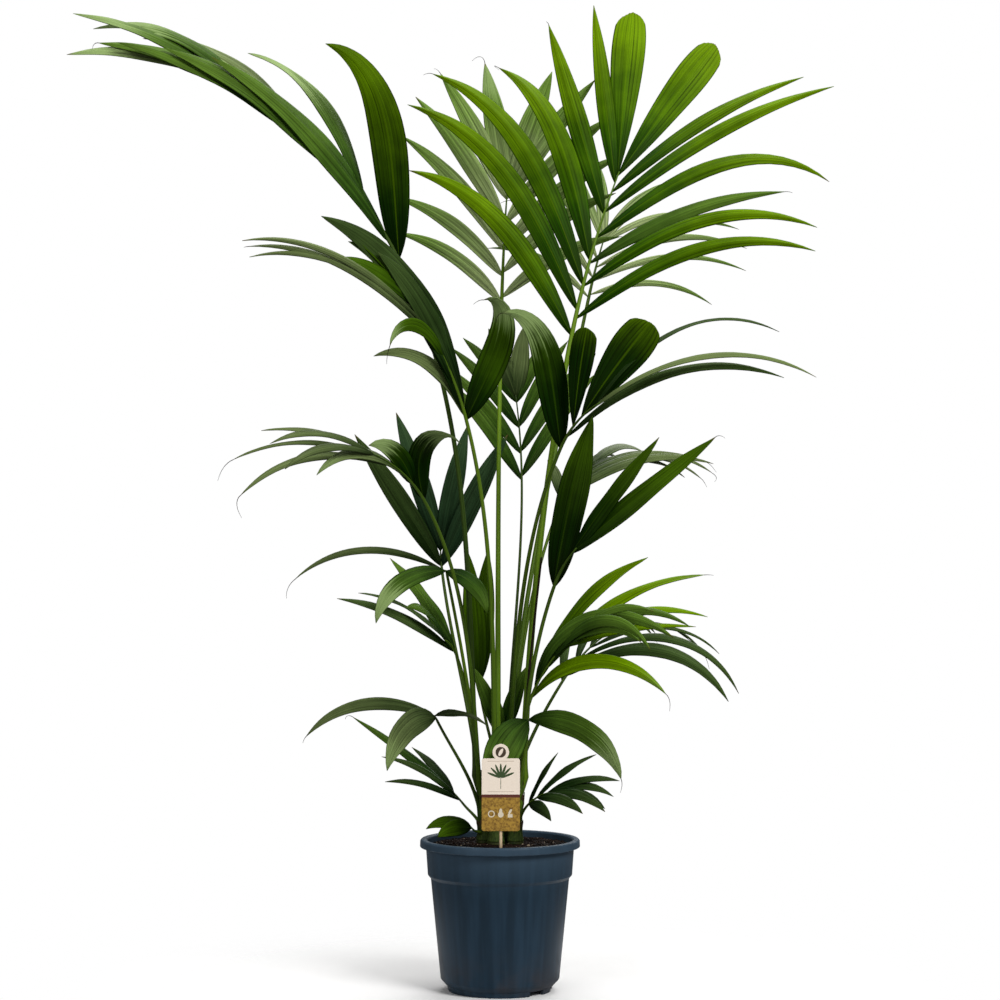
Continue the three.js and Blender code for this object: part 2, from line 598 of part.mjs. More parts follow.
// The stalk from the stem to the collar, and the rib on to the apex, as one smooth line.
function spine(frond) {
  const stem = stemCurve(stems[frond.stem]);
  const share = THREE.MathUtils.clamp(frond.exit / stems[frond.stem].height, 0, 0.92);
  const collar = vector(frond.collar);
  const start = stem.getPointAt(share);
  const outward = collar.clone().sub(start).setZ(0).normalize();
  start.addScaledVector(outward, 0.8 * stemRadius(share));
  const apex = vector(frond.apex);
  const rise = collar.clone().sub(start);
  const run = apex.clone().sub(collar);
  const along = rise.clone().normalize();
  const onward = run.clone().normalize();
  const aim = along.clone().add(onward).normalize();
  const finish = onward.clone().multiplyScalar(2 * onward.dot(aim)).sub(aim);
  const leave = along.clone().multiplyScalar(0.6).add(up).normalize();
  return {
    aim,
    stalk: new THREE.CubicBezierCurve3(
      start,
      start.clone().addScaledVector(leave, rise.length() / 3),
      collar.clone().addScaledVector(aim, -rise.length() / 3),
      collar,
    ),
    rib: new THREE.CubicBezierCurve3(
      collar.clone().addScaledVector(aim, seat),
      collar.clone().addScaledVector(aim, run.length() / 3),
      apex.clone().addScaledVector(finish, -run.length() / 3),
      apex,
    ),
  };
}

function stalkSolid(frond, line, extra) {
  const { sides, step, collarShare } = stalkShape;
  const radiusAt = (along) => frond.girth * THREE.MathUtils.lerp(1, collarShare, along ** 0.7) + extra;
  return limb(line.stalk, radiusAt, sides, 2 + Math.round(line.stalk.getLength() / step));
}

function ribSolid(frond, line) {
  const { sides, ribStep, collarShare, apexRadius } = stalkShape;
  const radiusAt = (along) => THREE.MathUtils.lerp(frond.girth * collarShare, apexRadius, along);
  return limb(line.rib, radiusAt, sides, 1 + Math.round(line.rib.getLength() / ribStep));
}

// ---------------------------------------------------------------- leaflets

// A repeatable small difference from -1 to 1, so that no two leaflets are quite alike.
function wobble(seed, index) {
  const value = Math.sin(seed * 12.9898 + index * 78.233) * 43758.5453;
  return 2 * (value - Math.floor(value)) - 1;
}

const radians = THREE.MathUtils.degToRad;

// The way a leaflet leaves the rib, from its sweep and lift, or from its own aim.
function heading(row, forward, face, sweep, lift) {
  if (row.aim) return vector(row.aim).normalize();
  const out = forward.clone().cross(face).multiplyScalar(row.side * Math.cos(radians(lift)));
  out.addScaledVector(face, Math.sin(radians(lift)));
  return out.multiplyScalar(Math.sin(radians(sweep))).addScaledVector(forward, Math.cos(radians(sweep)));
}

// The line of a leaflet: it sets out straight and turns steadily towards the ground.
function leafletLine(leaflet) {
  const { root, ahead, edge, reach } = leaflet;
  const towards = leaflet.towards ? vector(leaflet.towards).normalize() : up.clone().negate();
  const axis = ahead.clone().cross(towards).normalize();
  const turn = Math.min(radians(leaflet.droop), Math.max(0, ahead.angleTo(towards) - 0.1));
  const at = root.clone();
  const line = [];
  for (let i = 0; i <= leafletShape.fineSteps; i += 1) {
    const angle = turn * (i / leafletShape.fineSteps) ** leaflet.bend;
    const along = ahead.clone().applyAxisAngle(axis, angle);
    const across = edge.clone().applyAxisAngle(axis, angle);
    line.push({ at: at.clone(), across, face: across.clone().cross(along) });
    at.addScaledVector(along, reach / leafletShape.fineSteps);
  }
  return line;
}

// A blade's share of its full width at a place along it, from its root at 0 to its point at 1.
function bladeWidth(along, blunt) {
  const base = blunt ? leafletShape.bluntBase : leafletShape.base;
  const point = blunt ? leafletShape.bluntPoint : leafletShape.point;
  const shape = (x) => x ** base * (1 - x) ** point;
  return shape(THREE.MathUtils.clamp(along, 0.004, 0.999)) / shape(base / (base + point));
}

// A three-sided blade with a raised rib, a hundredth of its length thick.
function leafletSolid(leaflet) {
  const line = leafletLine(leaflet);
  const { straight, straightSteps, lateBend, lateSteps } = leafletShape;
  const late = leaflet.bend > lateBend ? lateSteps : leafletShape.steps;
  const steps = leaflet.droop < straight ? straightSteps : late;
  const edgeAcross = Math.sin(radians(120)); // where a three-sided cylinder has its edges
  return bent(3, steps, (evenly, across, above) => {
    const along = leaflet.blunt ? 1 - (1 - evenly) ** 1.6 : evenly;
    const { at, across: sideways, face } = line[Math.round(along * leafletShape.fineSteps)];
    const half = Math.max(finest, (leaflet.width / 2) * bladeWidth(along, leaflet.blunt));
    const rise = Math.max(finest, Math.min(half, leaflet.reach / 100));
    return at
      .clone()
      .addScaledVector(sideways, (across / edgeAcross) * half)
      .addScaledVector(face, (above - 0.25) * (rise / 1.5));
  }, 0);
}

// All leaflets of a frond, each with its root, its heading and the way its blade lies.
function leaflets(frond, line, seed) {
  const made = [];
  frond.leaflets.forEach((row, rank) => {
    const from = row.from ?? (row.side === RIGHT ? 0.07 : 0.03);
    const to = row.to ?? 0.91;
    for (let i = 0; i < row.count; i += 1) {
      const share = row.count > 1 ? i / (row.count - 1) : 0;
      const key = 40 * rank + 4 * i;
      const [near, middle, far] = row.reach;
      const bow = 4 * share * (1 - share) * (middle - (near + far) / 2);
      const at = THREE.MathUtils.lerp(from, to, share);
      const forward = line.rib.getTangent(at);
      const face = vector(frond.face).projectOnPlane(forward).normalize();
      const sweep = THREE.MathUtils.lerp(...row.sweep, share) + 2.5 * wobble(seed, key);
      const lift = (row.lift ?? 4) + 4 * wobble(seed, key + 1);
      const ahead = heading(row, forward, face, sweep, lift);
      made.push({
        root: line.rib.getPoint(at),
        ahead,
        edge: ahead.clone().cross(row.facing ? vector(row.facing) : face).normalize(),
        reach: (THREE.MathUtils.lerp(near, far, share) + bow) * (1 + 0.04 * wobble(seed, key + 2)),
        droop: THREE.MathUtils.lerp(...row.droop, share) * (1 + 0.1 * wobble(seed, key + 3)),
        width: THREE.MathUtils.lerp(...row.width, share),
        towards: row.towards,
        bend: row.bend ?? 1.3,
        blunt: row.blunt,
      });
    }
  });
  return made;
}

// ---------------------------------------------------------------- assembly

const clearOf = (solid, others) => others.every((other) => solid.minGap(other, 1.5 * seat) > seat);

place("pot", potSolid(), materials.pot);
place("soil", soilSolid(), materials.soil);
place("label_card", labelSolid(), materials.card);
place("label_stick", labelStickSolid(), materials.stick);

const taken = []; // stems and stalks with the gap that is left round each
for (const [name, stem] of Object.entries(stems)) {
  place(`stem_${name}`, stemSolid(stem, 0), materials.stem);
  taken.push(stemSolid(stem, seat));
}

// A stalk gives way to the stems and stalks before it, and starts where it comes clear of them.
function placeStalk(name, frond, line, material) {
  const pieces = stalkSolid(frond, line, 0).subtract(wasm.Manifold.union(taken)).decompose();
  pieces.sort((a, b) => b.volume() - a.volume());
  place(name, pieces[0], material);
  taken.push(stalkSolid(frond, line, seat));
}

const lines = Object.fromEntries(Object.entries(fronds).map(([name, frond]) => [name, spine(frond)]));
const ribs = {};
for (const [name, frond] of Object.entries(fronds)) {
  placeStalk(`stalk_${name}`, frond, lines[name], materials.stalk);
  ribs[name] = ribSolid(frond, lines[name]);
}
placeStalk("dead_stalk", deadStalk, spine(deadStalk), materials.dead);

// A leaflet that would touch anything outside its own frond is left out.
Object.entries(fronds).forEach(([name, frond], rank) => {
  const { [name]: rib, ...otherRibs } = ribs;
  const others = [...placed, ...Object.values(otherRibs)];
  const free = leaflets(frond, lines[name], rank + 1)
    .map(leafletSolid)
    .filter((blade) => clearOf(blade, others));
  place(`frond_${name}`, wasm.Manifold.union([rib, ...free]), materials[frond.tone]);
});

export default palm;
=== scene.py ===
# %% [markdown]
# # A kentia palm in its nursery pot
# A kentia is sold as a clump: three or four young palms that share one pot. Each has a short
# sheathed stem, and each of its leaves is a long stalk that carries a feathered frond. The
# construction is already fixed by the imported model: where each stem, stalk and frond is, and how
# far it reaches. What is made here is everything the eye sees close up: the pleats of a leaflet,
# the grooves of a stalk, the rolled lip of the pot and the crumbs of the soil.

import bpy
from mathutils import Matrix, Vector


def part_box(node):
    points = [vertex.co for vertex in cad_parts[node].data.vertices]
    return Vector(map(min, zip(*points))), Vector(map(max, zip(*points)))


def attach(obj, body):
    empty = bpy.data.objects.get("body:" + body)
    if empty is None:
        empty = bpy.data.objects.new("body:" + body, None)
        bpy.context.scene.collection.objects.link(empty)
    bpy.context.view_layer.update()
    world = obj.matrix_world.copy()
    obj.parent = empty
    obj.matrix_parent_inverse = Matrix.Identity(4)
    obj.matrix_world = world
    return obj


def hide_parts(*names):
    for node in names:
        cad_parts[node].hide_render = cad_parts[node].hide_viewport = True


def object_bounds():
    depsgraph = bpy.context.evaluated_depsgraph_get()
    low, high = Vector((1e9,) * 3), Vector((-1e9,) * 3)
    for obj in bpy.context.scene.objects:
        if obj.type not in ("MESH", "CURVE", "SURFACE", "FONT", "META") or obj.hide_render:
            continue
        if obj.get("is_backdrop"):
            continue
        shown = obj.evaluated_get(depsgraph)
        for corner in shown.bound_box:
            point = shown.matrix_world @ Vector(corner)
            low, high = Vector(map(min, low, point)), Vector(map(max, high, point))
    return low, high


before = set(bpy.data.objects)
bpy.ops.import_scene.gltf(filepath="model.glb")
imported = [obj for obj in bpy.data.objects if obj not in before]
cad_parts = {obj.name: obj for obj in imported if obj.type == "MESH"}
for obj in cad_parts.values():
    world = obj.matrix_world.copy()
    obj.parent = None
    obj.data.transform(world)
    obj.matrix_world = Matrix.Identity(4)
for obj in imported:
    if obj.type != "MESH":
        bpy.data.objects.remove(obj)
solids_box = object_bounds()
print("nodes", len(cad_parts), "box", [round(v, 3) for corner in solids_box for v in corner])

# %% The tools of this lesson
import math
import random
from bisect import bisect_left

import bmesh
import bpy
from mathutils import Matrix, Quaternion, Vector, noise

MM = 0.001  # sizes are told in millimetres and placed in metres


def lerp(start, end, share):
    return start + (end - start) * share


def clamp(value, low=0.0, high=1.0):
    return max(low, min(high, value))


def put(name, data):
    """Makes an object of some data and puts it in the scene."""
    made = bpy.data.objects.new(name, data)
    bpy.context.scene.collection.objects.link(made)
    return made


def settle(bm, name):
    """Turns a bmesh into a named mesh."""
    mesh = bpy.data.meshes.new(name)
    bm.to_mesh(mesh)
    bm.free()
    return mesh


def pour(bm, into):
    """Adds a bmesh to another one."""
    carrier = settle(bm, "carrier")
    into.from_mesh(carrier)
    bpy.data.meshes.remove(carrier)


print("one unit of length is", MM, "m")

# %% [markdown]
# ## Stage, camera and lights
# The plant is looked at from pot height to crown without tipping the camera, so a long lens
# stands level at the middle of its height. The floor is a plain pale disc that fades out before
# its rim shows. A plant looks green and deep only if its glossy leaves don't mirror white walls,
# so the room is dim and a few large soft lights do the work, while the camera itself sees a white
# backdrop.

# %% Camera
CAMERA_HEIGHT = 642.5  # mm over the floor
CAMERA_DISTANCE = 3646  # mm in front of the pot's middle
SENSOR = 36  # mm wide
LENS = 100  # mm


def aim_at(thing, target):
    """Turns a lamp or camera so that it looks at a point."""
    thing.rotation_euler = (Vector(target) - thing.location).to_track_quat("-Z", "Y").to_euler()


camera = put("camera", bpy.data.cameras.new("camera"))
camera.location = Vector((0, -CAMERA_DISTANCE, CAMERA_HEIGHT)) * MM
aim_at(camera, (0, 0, CAMERA_HEIGHT * MM))
camera.data.sensor_width = SENSOR
camera.data.lens = LENS
bpy.context.scene.camera = camera
bpy.context.scene.view_settings.view_transform = "Standard"
print("camera", tuple(round(v, 3) for v in camera.location))

# %% Soft lights
LIGHTS = {
    # name: where it hangs (m), side length (m), power (W)
    "key": ((1.8, -2.4, 2.7), 1.4, 104),
    "fill": ((-2.0, -3.0, 1.5), 2.0, 30),
    "top": ((0.2, 0.4, 3.3), 1.8, 52),
    "rim": ((0.8, 2.8, 2.6), 2.4, 50),
}
LIGHTS_AIM = (0, 0, 0.7)  # m: a little over the middle of the plant
for name, (place, side, power) in LIGHTS.items():
    lamp = put(f"light_{name}", bpy.data.lights.new(f"light_{name}", "AREA"))
    lamp.location = place
    aim_at(lamp, LIGHTS_AIM)
    lamp.data.size = side
    lamp.data.energy = power
print("lights", len(LIGHTS))

# %% [markdown]
# ## Writing a finish as a sum
# A procedural finish is a formula: where on the surface is this point, and how light, rough or
# raised is it there? Wired by hand in the node editor such a formula is hard to read. Here one
# small class wraps a node's socket, so that Python's own operators add the Math nodes, and one
# method adds any other node.


# %% A socket that takes part in sums
class Wire:
    """One output of a node. An operator used on it adds the Math node that it stands for."""

    def __init__(self, finish, socket):
        self.finish = finish
        self.socket = socket

    def maths(self, operation, *values):
        return self.finish.node("ShaderNodeMath", {"operation": operation}, dict(enumerate(values)))

    def __add__(self, other):
        return self.maths("ADD", self, other)

    def __sub__(self, other):
        return self.maths("SUBTRACT", self, other)

    def __rsub__(self, other):
        return self.maths("SUBTRACT", other, self)

    def __mul__(self, other):
        return self.maths("MULTIPLY", self, other)

    def __truediv__(self, other):
        return self.maths("DIVIDE", self, other)

    def __pow__(self, other):
        return self.maths("POWER", self, other)

    def __abs__(self):
        return self.maths("ABSOLUTE", self)

    __radd__ = __add__
    __rmul__ = __mul__

    def cosine(self):
        return self.maths("COSINE", self)

    def larger(self, other):
        return self.maths("MAXIMUM", self, other)

    def smaller(self, other):
        return self.maths("MINIMUM", self, other)

    def between(self, low, high):
        """A soft step: 0 below low, 1 above high, or the other way round."""
        sockets = {"Value": self, "From Min": low, "From Max": high}
        return self.finish.node("ShaderNodeMapRange", {"interpolation_type": "SMOOTHSTEP"}, sockets)


# %% A finish
def srgb(*chart):
    """A colour as a paint chart gives it, 0 to 255, as the linear colour that light works with."""
    shares = [colour / 255 for colour in chart]
    linear = [s / 12.92 if s <= 0.04 else ((s + 0.055) / 1.055) ** 2.4 for s in shares]
    return (*linear, 1.0)


class Finish:
    """A material under construction."""

    def __init__(self, name):
        self.material = bpy.data.materials.new(name)
        self.material.use_nodes = True
        self.tree = self.material.node_tree
        self.tree.nodes.clear()

    def node(self, kind, settings=None, sockets=None, out=0):
        """Adds a node: its settings first, then the values or links of its sockets."""
        made = self.tree.nodes.new(kind)
        for name, value in (settings or {}).items():
            setattr(made, name, value)
        for name, value in (sockets or {}).items():
            if isinstance(value, Wire):
                self.tree.links.new(value.socket, made.inputs[name])
            else:
                made.inputs[name].default_value = value
        return Wire(self, made.outputs[out])

    def split(self, vector):
        """The three numbers of a vector."""
        parts = self.node("ShaderNodeSeparateXYZ", sockets={0: vector})
        return [Wire(self, socket) for socket in parts.socket.node.outputs]

    def join(self, x, y, z=0.0):
        return self.node("ShaderNodeCombineXYZ", sockets={0: x, 1: y, 2: z})

    def place(self):
        """Where a point is on the object, in metres."""
        return self.node("ShaderNodeTexCoord", out="Object")

    def sheet(self):
        """Where a point is on its own blade or limb: across or round it, and along it."""
        across, along, _ = self.split(self.node("ShaderNodeUVMap", {"uv_map": "sheet"}))
        return across, along

    def mark(self, name):
        """A number that each part of the mesh carries."""
        return self.node("ShaderNodeAttribute", {"attribute_name": name}, out="Fac")

    def grain(self, vector, scale, detail=2.0, roughness=0.5):
        """Noise from about 0.3 to 0.7. The scale is how many grains there are to a metre."""
        sockets = {"Vector": vector, "Scale": scale, "Detail": detail, "Roughness": roughness}
        return self.node("ShaderNodeTexNoise", sockets=sockets)

    def streaks(self, across, along, detail, roughness):
        """Noise that is drawn out, because it is told finer one way than the other."""
        return self.grain(self.join(across, along), 1.0, detail, roughness)

    def mix(self, share, first, second):
        """A colour between two others."""
        sockets = {0: share, 6: first, 7: second}
        return self.node("ShaderNodeMix", {"data_type": "RGBA"}, sockets, out=2)

    def shade(self, colour, factor):
        """A colour made lighter or darker by a factor."""
        sockets = {0: colour, "Scale": factor}
        return self.node("ShaderNodeVectorMath", {"operation": "SCALE"}, sockets)

    def bump(self, height, depth):
        """Relief from a height between 0 and 1 that stands for a depth in millimetres."""
        return self.node("ShaderNodeBump", sockets={"Height": height, "Distance": depth * MM})

    def done(self, **sockets):
        """Ends the formula in the surface shader and gives the material back."""
        named = {name.replace("_", " "): value for name, value in sockets.items()}
        shader = self.node("ShaderNodeBsdfPrincipled", sockets=named)
        output = self.tree.nodes.new("ShaderNodeOutputMaterial")
        self.tree.links.new(shader.socket, output.inputs["Surface"])
        return self.material


print("a finish is ready to be written")

# %% The floor and the backdrop
FLOOR_RADIUS = 3.0  # m
FLOOR_SIDES = 96
FLOOR_FADE = (0.12, 0.6)  # m from the pot's middle: where the floor starts to fade, and is gone
ROOM_LIGHT = 0.16  # how brightly the room lights the plant
BACKDROP = 1.0  # how bright the camera sees it


def floor_finish():
    finish = Finish("pale_floor")
    x, y, _ = finish.split(finish.place())
    reach = (x * x + y * y) ** 0.5
    near, far = FLOOR_FADE
    alpha = reach.between(far, near)
    return finish.done(Base_Color=srgb(252, 251, 250), Roughness=0.9, Alpha=alpha)


def light_room():
    """The plant is lit by a dim room; straight behind it the camera sees a white backdrop."""
    world = bpy.data.worlds.new("studio")
    bpy.context.scene.world = world
    world.use_nodes = True
    nodes, links = world.node_tree.nodes, world.node_tree.links
    nodes.clear()
    seen = nodes.new("ShaderNodeLightPath")
    share = nodes.new("ShaderNodeMix")
    share.inputs["A"].default_value = ROOM_LIGHT
    share.inputs["B"].default_value = BACKDROP
    background = nodes.new("ShaderNodeBackground")
    background.inputs["Color"].default_value = (1, 1, 1, 1)
    output = nodes.new("ShaderNodeOutputWorld")
    links.new(seen.outputs["Is Camera Ray"], share.inputs["Factor"])
    links.new(share.outputs["Result"], background.inputs["Strength"])
    links.new(background.outputs[0], output.inputs["Surface"])


floor_bm = bmesh.new()
bmesh.ops.create_circle(floor_bm, cap_ends=True, segments=FLOOR_SIDES, radius=FLOOR_RADIUS)
floor = put("floor", settle(floor_bm, "floor"))
floor.data.materials.append(floor_finish())
floor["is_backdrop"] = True
light_room()
print("floor radius", FLOOR_RADIUS)

# %% [markdown]
# ## A finished piece
# Every piece ends the same way: its mesh goes into an object that sits at the origin, gets its
# finishes, and rides on the body that it belongs to. If it stands for a solid of the packed
# model, that solid is hidden.


# %% Finishing a piece
def finish_piece(name, bm, finishes, replaces=(), thickness=0.0, smooth=True):
    """Turns a bmesh in millimetres into a named piece. A thickness makes a wall of a sheet."""
    bmesh.ops.scale(bm, vec=(MM, MM, MM), verts=bm.verts)
    mesh = settle(bm, name)
    piece = put(name, mesh)
    for finish in finishes:
        mesh.materials.append(finish)
    mesh.polygons.foreach_set("use_smooth", [smooth] * len(mesh.polygons))
    if thickness:
        wall = piece.modifiers.new("wall", "SOLIDIFY")
        wall.thickness = thickness * MM
        wall.offset = 0
        wall.material_offset = len(finishes) - 1  # the other side of the sheet has the last finish
    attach(piece, "root")
    if replaces:
        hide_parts(*replaces)
    return piece


# %% [markdown]
# ## The pot
# A nursery pot is blown or moulded from thin polypropylene: a tapering wall, a stepped collar
# that lets the pots stack, a turned-down lip, and a foot ring with notches that let the water
# out. All but the notches and the drain holes is round, so the wall is one profile spun about the
# axis. Its hard edges are then bevelled, because moulded plastic has none. The foot ring is spun
# in arcs from notch to notch.

# %% Measures of the pot
_, pot_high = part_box("pot")
RIM_RADIUS = pot_high.x / MM
POT_HEIGHT = pot_high.z / MM
LIP = 10.0  # height of the turned-down lip
LIP_THICKNESS, LIP_ROUND = 2.4, 2.0
WALL = 2.2
NECK_RADIUS = 97.2  # outside, just under the lip
COLLAR_RADIUS, COLLAR_FOOT = 94.7, 151.5
SHOULDER_RADIUS, SHOULDER = 90.8, 148.0
BODY_FOOT_RADIUS, BODY_FOOT = 78.0, 16.4
FOOT_RADIUS, FOOT_TOP, FOOT_WIDTH = 69.0, 6.5, 4.5
FOOT_FLARE = 0.6  # how much wider the foot ring is at its top
PAD_RADIUS, PAD_SLOPE = 28.0, 4.0  # the flat middle of the floor, and the breadth of its slope
DRAIN_RING, DRAIN_RADIUS, DRAINS = 50.0, 5.0, 8
FOOT_NOTCHES = ((44.5, 20.0), (84.0, 22.0), (224.5, 20.0), (264.0, 22.0))  # centre, width: degrees
print("pot", round(2 * RIM_RADIUS), "across and", round(POT_HEIGHT), "high")

# %% Spinning a profile
TURNS = 120  # steps in a full turn
MERGED = 1e-4  # mm within which two corners are one


def spin_profile(bm, profile, start=0.0, turn=360.0):
    """Spins a line of (radius, height) about Z, from start degrees round from the front."""
    verts = [bm.verts.new((radius, 0, height)) for radius, height in profile]
    edges = [bm.edges.new(ends) for ends in zip(verts, verts[1:])]
    first = Matrix.Rotation(math.radians(start - 90), 3, "Z")
    bmesh.ops.rotate(bm, verts=verts, cent=(0, 0, 0), matrix=first)
    bmesh.ops.spin(
        bm, geom=verts + edges, cent=(0, 0, 0), axis=(0, 0, 1), angle=math.radians(turn),
        steps=max(2, round(TURNS * turn / 360)), use_merge=turn >= 360, use_duplicate=False,
    )
    bmesh.ops.remove_doubles(bm, verts=bm.verts, dist=MERGED)
    bmesh.ops.recalc_face_normals(bm, faces=bm.faces)


def soften_edges(bm, angle, radius):
    """Bevels every edge that turns by more than an angle."""
    hard = [e for e in bm.edges if e.is_manifold and e.calc_face_angle(0) > math.radians(angle)]
    bmesh.ops.bevel(
        bm, geom=hard, offset=radius, offset_type="OFFSET", segments=2, profile=0.5,
        affect="EDGES", material=-1, clamp_overlap=True,
    )


def add_pin(bm, radius, length, sides, place):
    """An upright round pin about the middle of its place."""
    bmesh.ops.create_cone(
        bm, cap_ends=True, segments=sides, radius1=radius, radius2=radius, depth=length,
        matrix=place,
    )


print("a step of a spin is", 360 / TURNS, "degrees")


# %% The finish of the pot
DUST_TOP = 75.0  # how high dust clings to the wall
PAINTED_LIGHT_FOOT = SHOULDER - 20  # from where up the wall is painted lighter, as painted light from above


def pot_finish():
    """Slate-blue plastic: streaked, painted lighter above for the light from above, with scuffs and
    a painted highlight at the lip, and dust at the foot.
    """
    finish = Finish("pot_plastic")
    place = finish.place()
    x, y, height = finish.split(place)
    turn = x.maths("ARCTAN2", x, y)
    streaks = finish.streaks(turn * 6.6, height * 6, 2.0, 0.5)
    fine_streaks = finish.streaks(turn * 90, height * 18, 3.0, 0.6)
    scuffs = finish.streaks(turn * 102, height * 180, 4.0, 0.7)
    dust = finish.grain(place, 22, 5.0, 0.62)
    lip = height.between((POT_HEIGHT - LIP - 1) * MM, (POT_HEIGHT - LIP_ROUND) * MM)
    # painted light: from the shoulder up the wall is painted lighter, for the light from above
    painted_top_light = height.between(PAINTED_LIGHT_FOOT * MM, POT_HEIGHT * MM)
    greyed = height.between(DUST_TOP * MM, 0.0) * dust.between(0.36, 0.72)
    # painted highlight along the lip, broken up like scuffs, which are also rougher
    lip_scuffs_and_highlight = lip * scuffs.between(0.56, 0.78)
    blue = finish.mix(streaks.between(0.3, 0.7), srgb(24, 41, 54), srgb(33, 53, 69))
    blue = finish.mix(fine_streaks.between(0.45, 0.8) * 0.05, blue, srgb(46, 65, 82))
    # painted light from above: the wall lighter from the shoulder up
    blue = finish.mix(painted_top_light * 0.55, blue, srgb(68, 86, 102))
    blue = finish.mix(greyed * 0.5, blue, srgb(66, 58, 54))
    # the lip's painted highlight and scuffs
    blue = finish.mix(lip_scuffs_and_highlight * 0.4, blue, srgb(104, 124, 142))
    rough = 0.3 + 0.12 * streaks + 0.3 * greyed + 0.12 * lip_scuffs_and_highlight
    relief = finish.bump(fine_streaks * 0.25 + finish.grain(place, 900) * 0.4, 0.04)
    return finish.done(Base_Color=blue, Roughness=rough, Normal=relief, Specular_IOR_Level=0.09)


pot_material = pot_finish()
print("finish", pot_material.name)


# %% Pot wall
def pot_wall():
    """The shell's profile: under the pad, out and up to the lip, over it, and back down inside."""
    bm = bmesh.new()
    inner_rim, inner_floor = NECK_RADIUS - WALL, FOOT_TOP + WALL
    lip_foot, lip_roof = POT_HEIGHT - LIP, POT_HEIGHT - LIP_THICKNESS
    lip_inside, lip_edge = RIM_RADIUS - LIP_THICKNESS, POT_HEIGHT - LIP_ROUND
    spin_profile(bm, [
        (0, 0), (PAD_RADIUS, 0), (PAD_RADIUS + PAD_SLOPE, FOOT_TOP),
        (FOOT_RADIUS + FOOT_FLARE, FOOT_TOP),
        (BODY_FOOT_RADIUS - 1, BODY_FOOT - 2), (BODY_FOOT_RADIUS, BODY_FOOT),
        (SHOULDER_RADIUS, SHOULDER - 1), (SHOULDER_RADIUS + 0.8, SHOULDER),
        (COLLAR_RADIUS, COLLAR_FOOT), (NECK_RADIUS, lip_foot), (NECK_RADIUS, lip_roof),
        (lip_inside, lip_roof), (lip_inside, lip_foot), (RIM_RADIUS - 0.4, lip_foot),
        (RIM_RADIUS, lip_foot + 1), (RIM_RADIUS - 0.3, lip_edge),
        (RIM_RADIUS - LIP_ROUND, POT_HEIGHT), (inner_rim + LIP_ROUND, POT_HEIGHT),
        (inner_rim, lip_edge), (COLLAR_RADIUS - WALL, COLLAR_FOOT),
        (SHOULDER_RADIUS - WALL, SHOULDER), (BODY_FOOT_RADIUS - WALL, BODY_FOOT),
        (FOOT_RADIUS, inner_floor), (PAD_RADIUS + PAD_SLOPE, inner_floor), (PAD_RADIUS, WALL),
        (0, WALL),
    ])
    soften_edges(bm, 24, 0.55)
    return bm


pot = finish_piece("pot_shell", pot_wall(), [pot_material], replaces=["pot"])
print("pot faces", len(pot.data.polygons))


# %% Drain holes
def drain_pins():
    """The eight pins that leave the drain holes in the floor."""
    bm = bmesh.new()
    for i in range(DRAINS):
        turn = Matrix.Rotation(2 * math.pi * (i + 0.5) / DRAINS, 4, "Z")
        place = turn @ Matrix.Translation((DRAIN_RING, 0, FOOT_TOP + WALL / 2))
        add_pin(bm, DRAIN_RADIUS, 4 * WALL, 20, place)
    return bm


def cut_away(piece, cutter_bm):
    """Cuts a bmesh in millimetres out of a finished piece, and leaves plain mesh."""
    bmesh.ops.scale(cutter_bm, vec=(MM, MM, MM), verts=cutter_bm.verts)
    cutter = put("cutter", settle(cutter_bm, "cutter"))
    cut = piece.modifiers.new("cut", "BOOLEAN")
    cut.operation = "DIFFERENCE"
    cut.solver = "EXACT"
    cut.object = cutter
    settled = piece.evaluated_get(bpy.context.evaluated_depsgraph_get())
    mesh = bpy.data.meshes.new_from_object(settled)
    piece.modifiers.clear()
    piece.data = mesh
    bpy.data.objects.remove(cutter)


cut_away(pot, drain_pins())
print("pot faces round", DRAINS, "drain holes", len(pot.data.polygons))


# %% Foot ring
def foot_ring():
    """Arcs of the ring that the pot stands on, from one notch to the next."""
    bm = bmesh.new()
    ends = [centre + side * width / 2 for centre, width in FOOT_NOTCHES for side in (-1, 1)]
    inside, outside, top = FOOT_RADIUS - FOOT_WIDTH, FOOT_RADIUS + FOOT_FLARE, FOOT_TOP + 0.4
    profile = [(inside, top), (inside, 0), (FOOT_RADIUS - 1, 0), (outside, top), (inside, top)]
    for start, end in zip(ends[1::2], ends[2::2] + [ends[0] + 360]):
        span = bmesh.new()
        spin_profile(span, profile, start, end - start)
        bmesh.ops.holes_fill(span, edges=span.edges)
        bmesh.ops.recalc_face_normals(span, faces=span.faces)
        soften_edges(span, 50, 0.4)
        pour(span, bm)
    return bm


foot = finish_piece("pot_foot", foot_ring(), [pot_material])
print("foot faces", len(foot.data.polygons))

# %% [markdown]
# ## Laying a sheet
# A leaflet and a limb are the same job for a modeller: a flat grid that is bent into place. A
# leaflet's grid keeps its two free edges and later gets a thickness; a limb's grid is rolled up,
# its seam is welded and its ends are closed. Each point keeps its place on the flat grid, so a
# finish can follow the blade or the limb, and each piece of it carries its own tint.


# %% Grids that are bent into place
# what a part of a mesh tells its finish: its own tint, how much light or shade is painted on it,
# how many veins half a blade has, and how pale its tip is
MARKS = ("tint", "age", "ribs", "fade")


def new_mesh():
    bm = bmesh.new()
    bm.loops.layers.uv.new("sheet")
    for name in MARKS:
        bm.verts.layers.float.new(name)
    return bm


def mark(bm, verts, **marks):
    """Gives vertices the numbers that their finish reads."""
    for name, value in marks.items():
        layer = bm.verts.layers.float[name]
        for vert in verts:
            vert[layer] = value


def lay_grid(bm, columns, rows, place, **marks):
    """Lays a grid where place(u, v) puts it; u and v run from 0 to 1 across it and along it."""
    flat = bmesh.ops.create_grid(bm, x_segments=columns, y_segments=rows, size=0.5, calc_uvs=True)
    made = flat["verts"]
    mark(bm, made, **marks)
    for vert in made:
        vert.co = place(vert.co.x + 0.5, vert.co.y + 0.5)
    return made


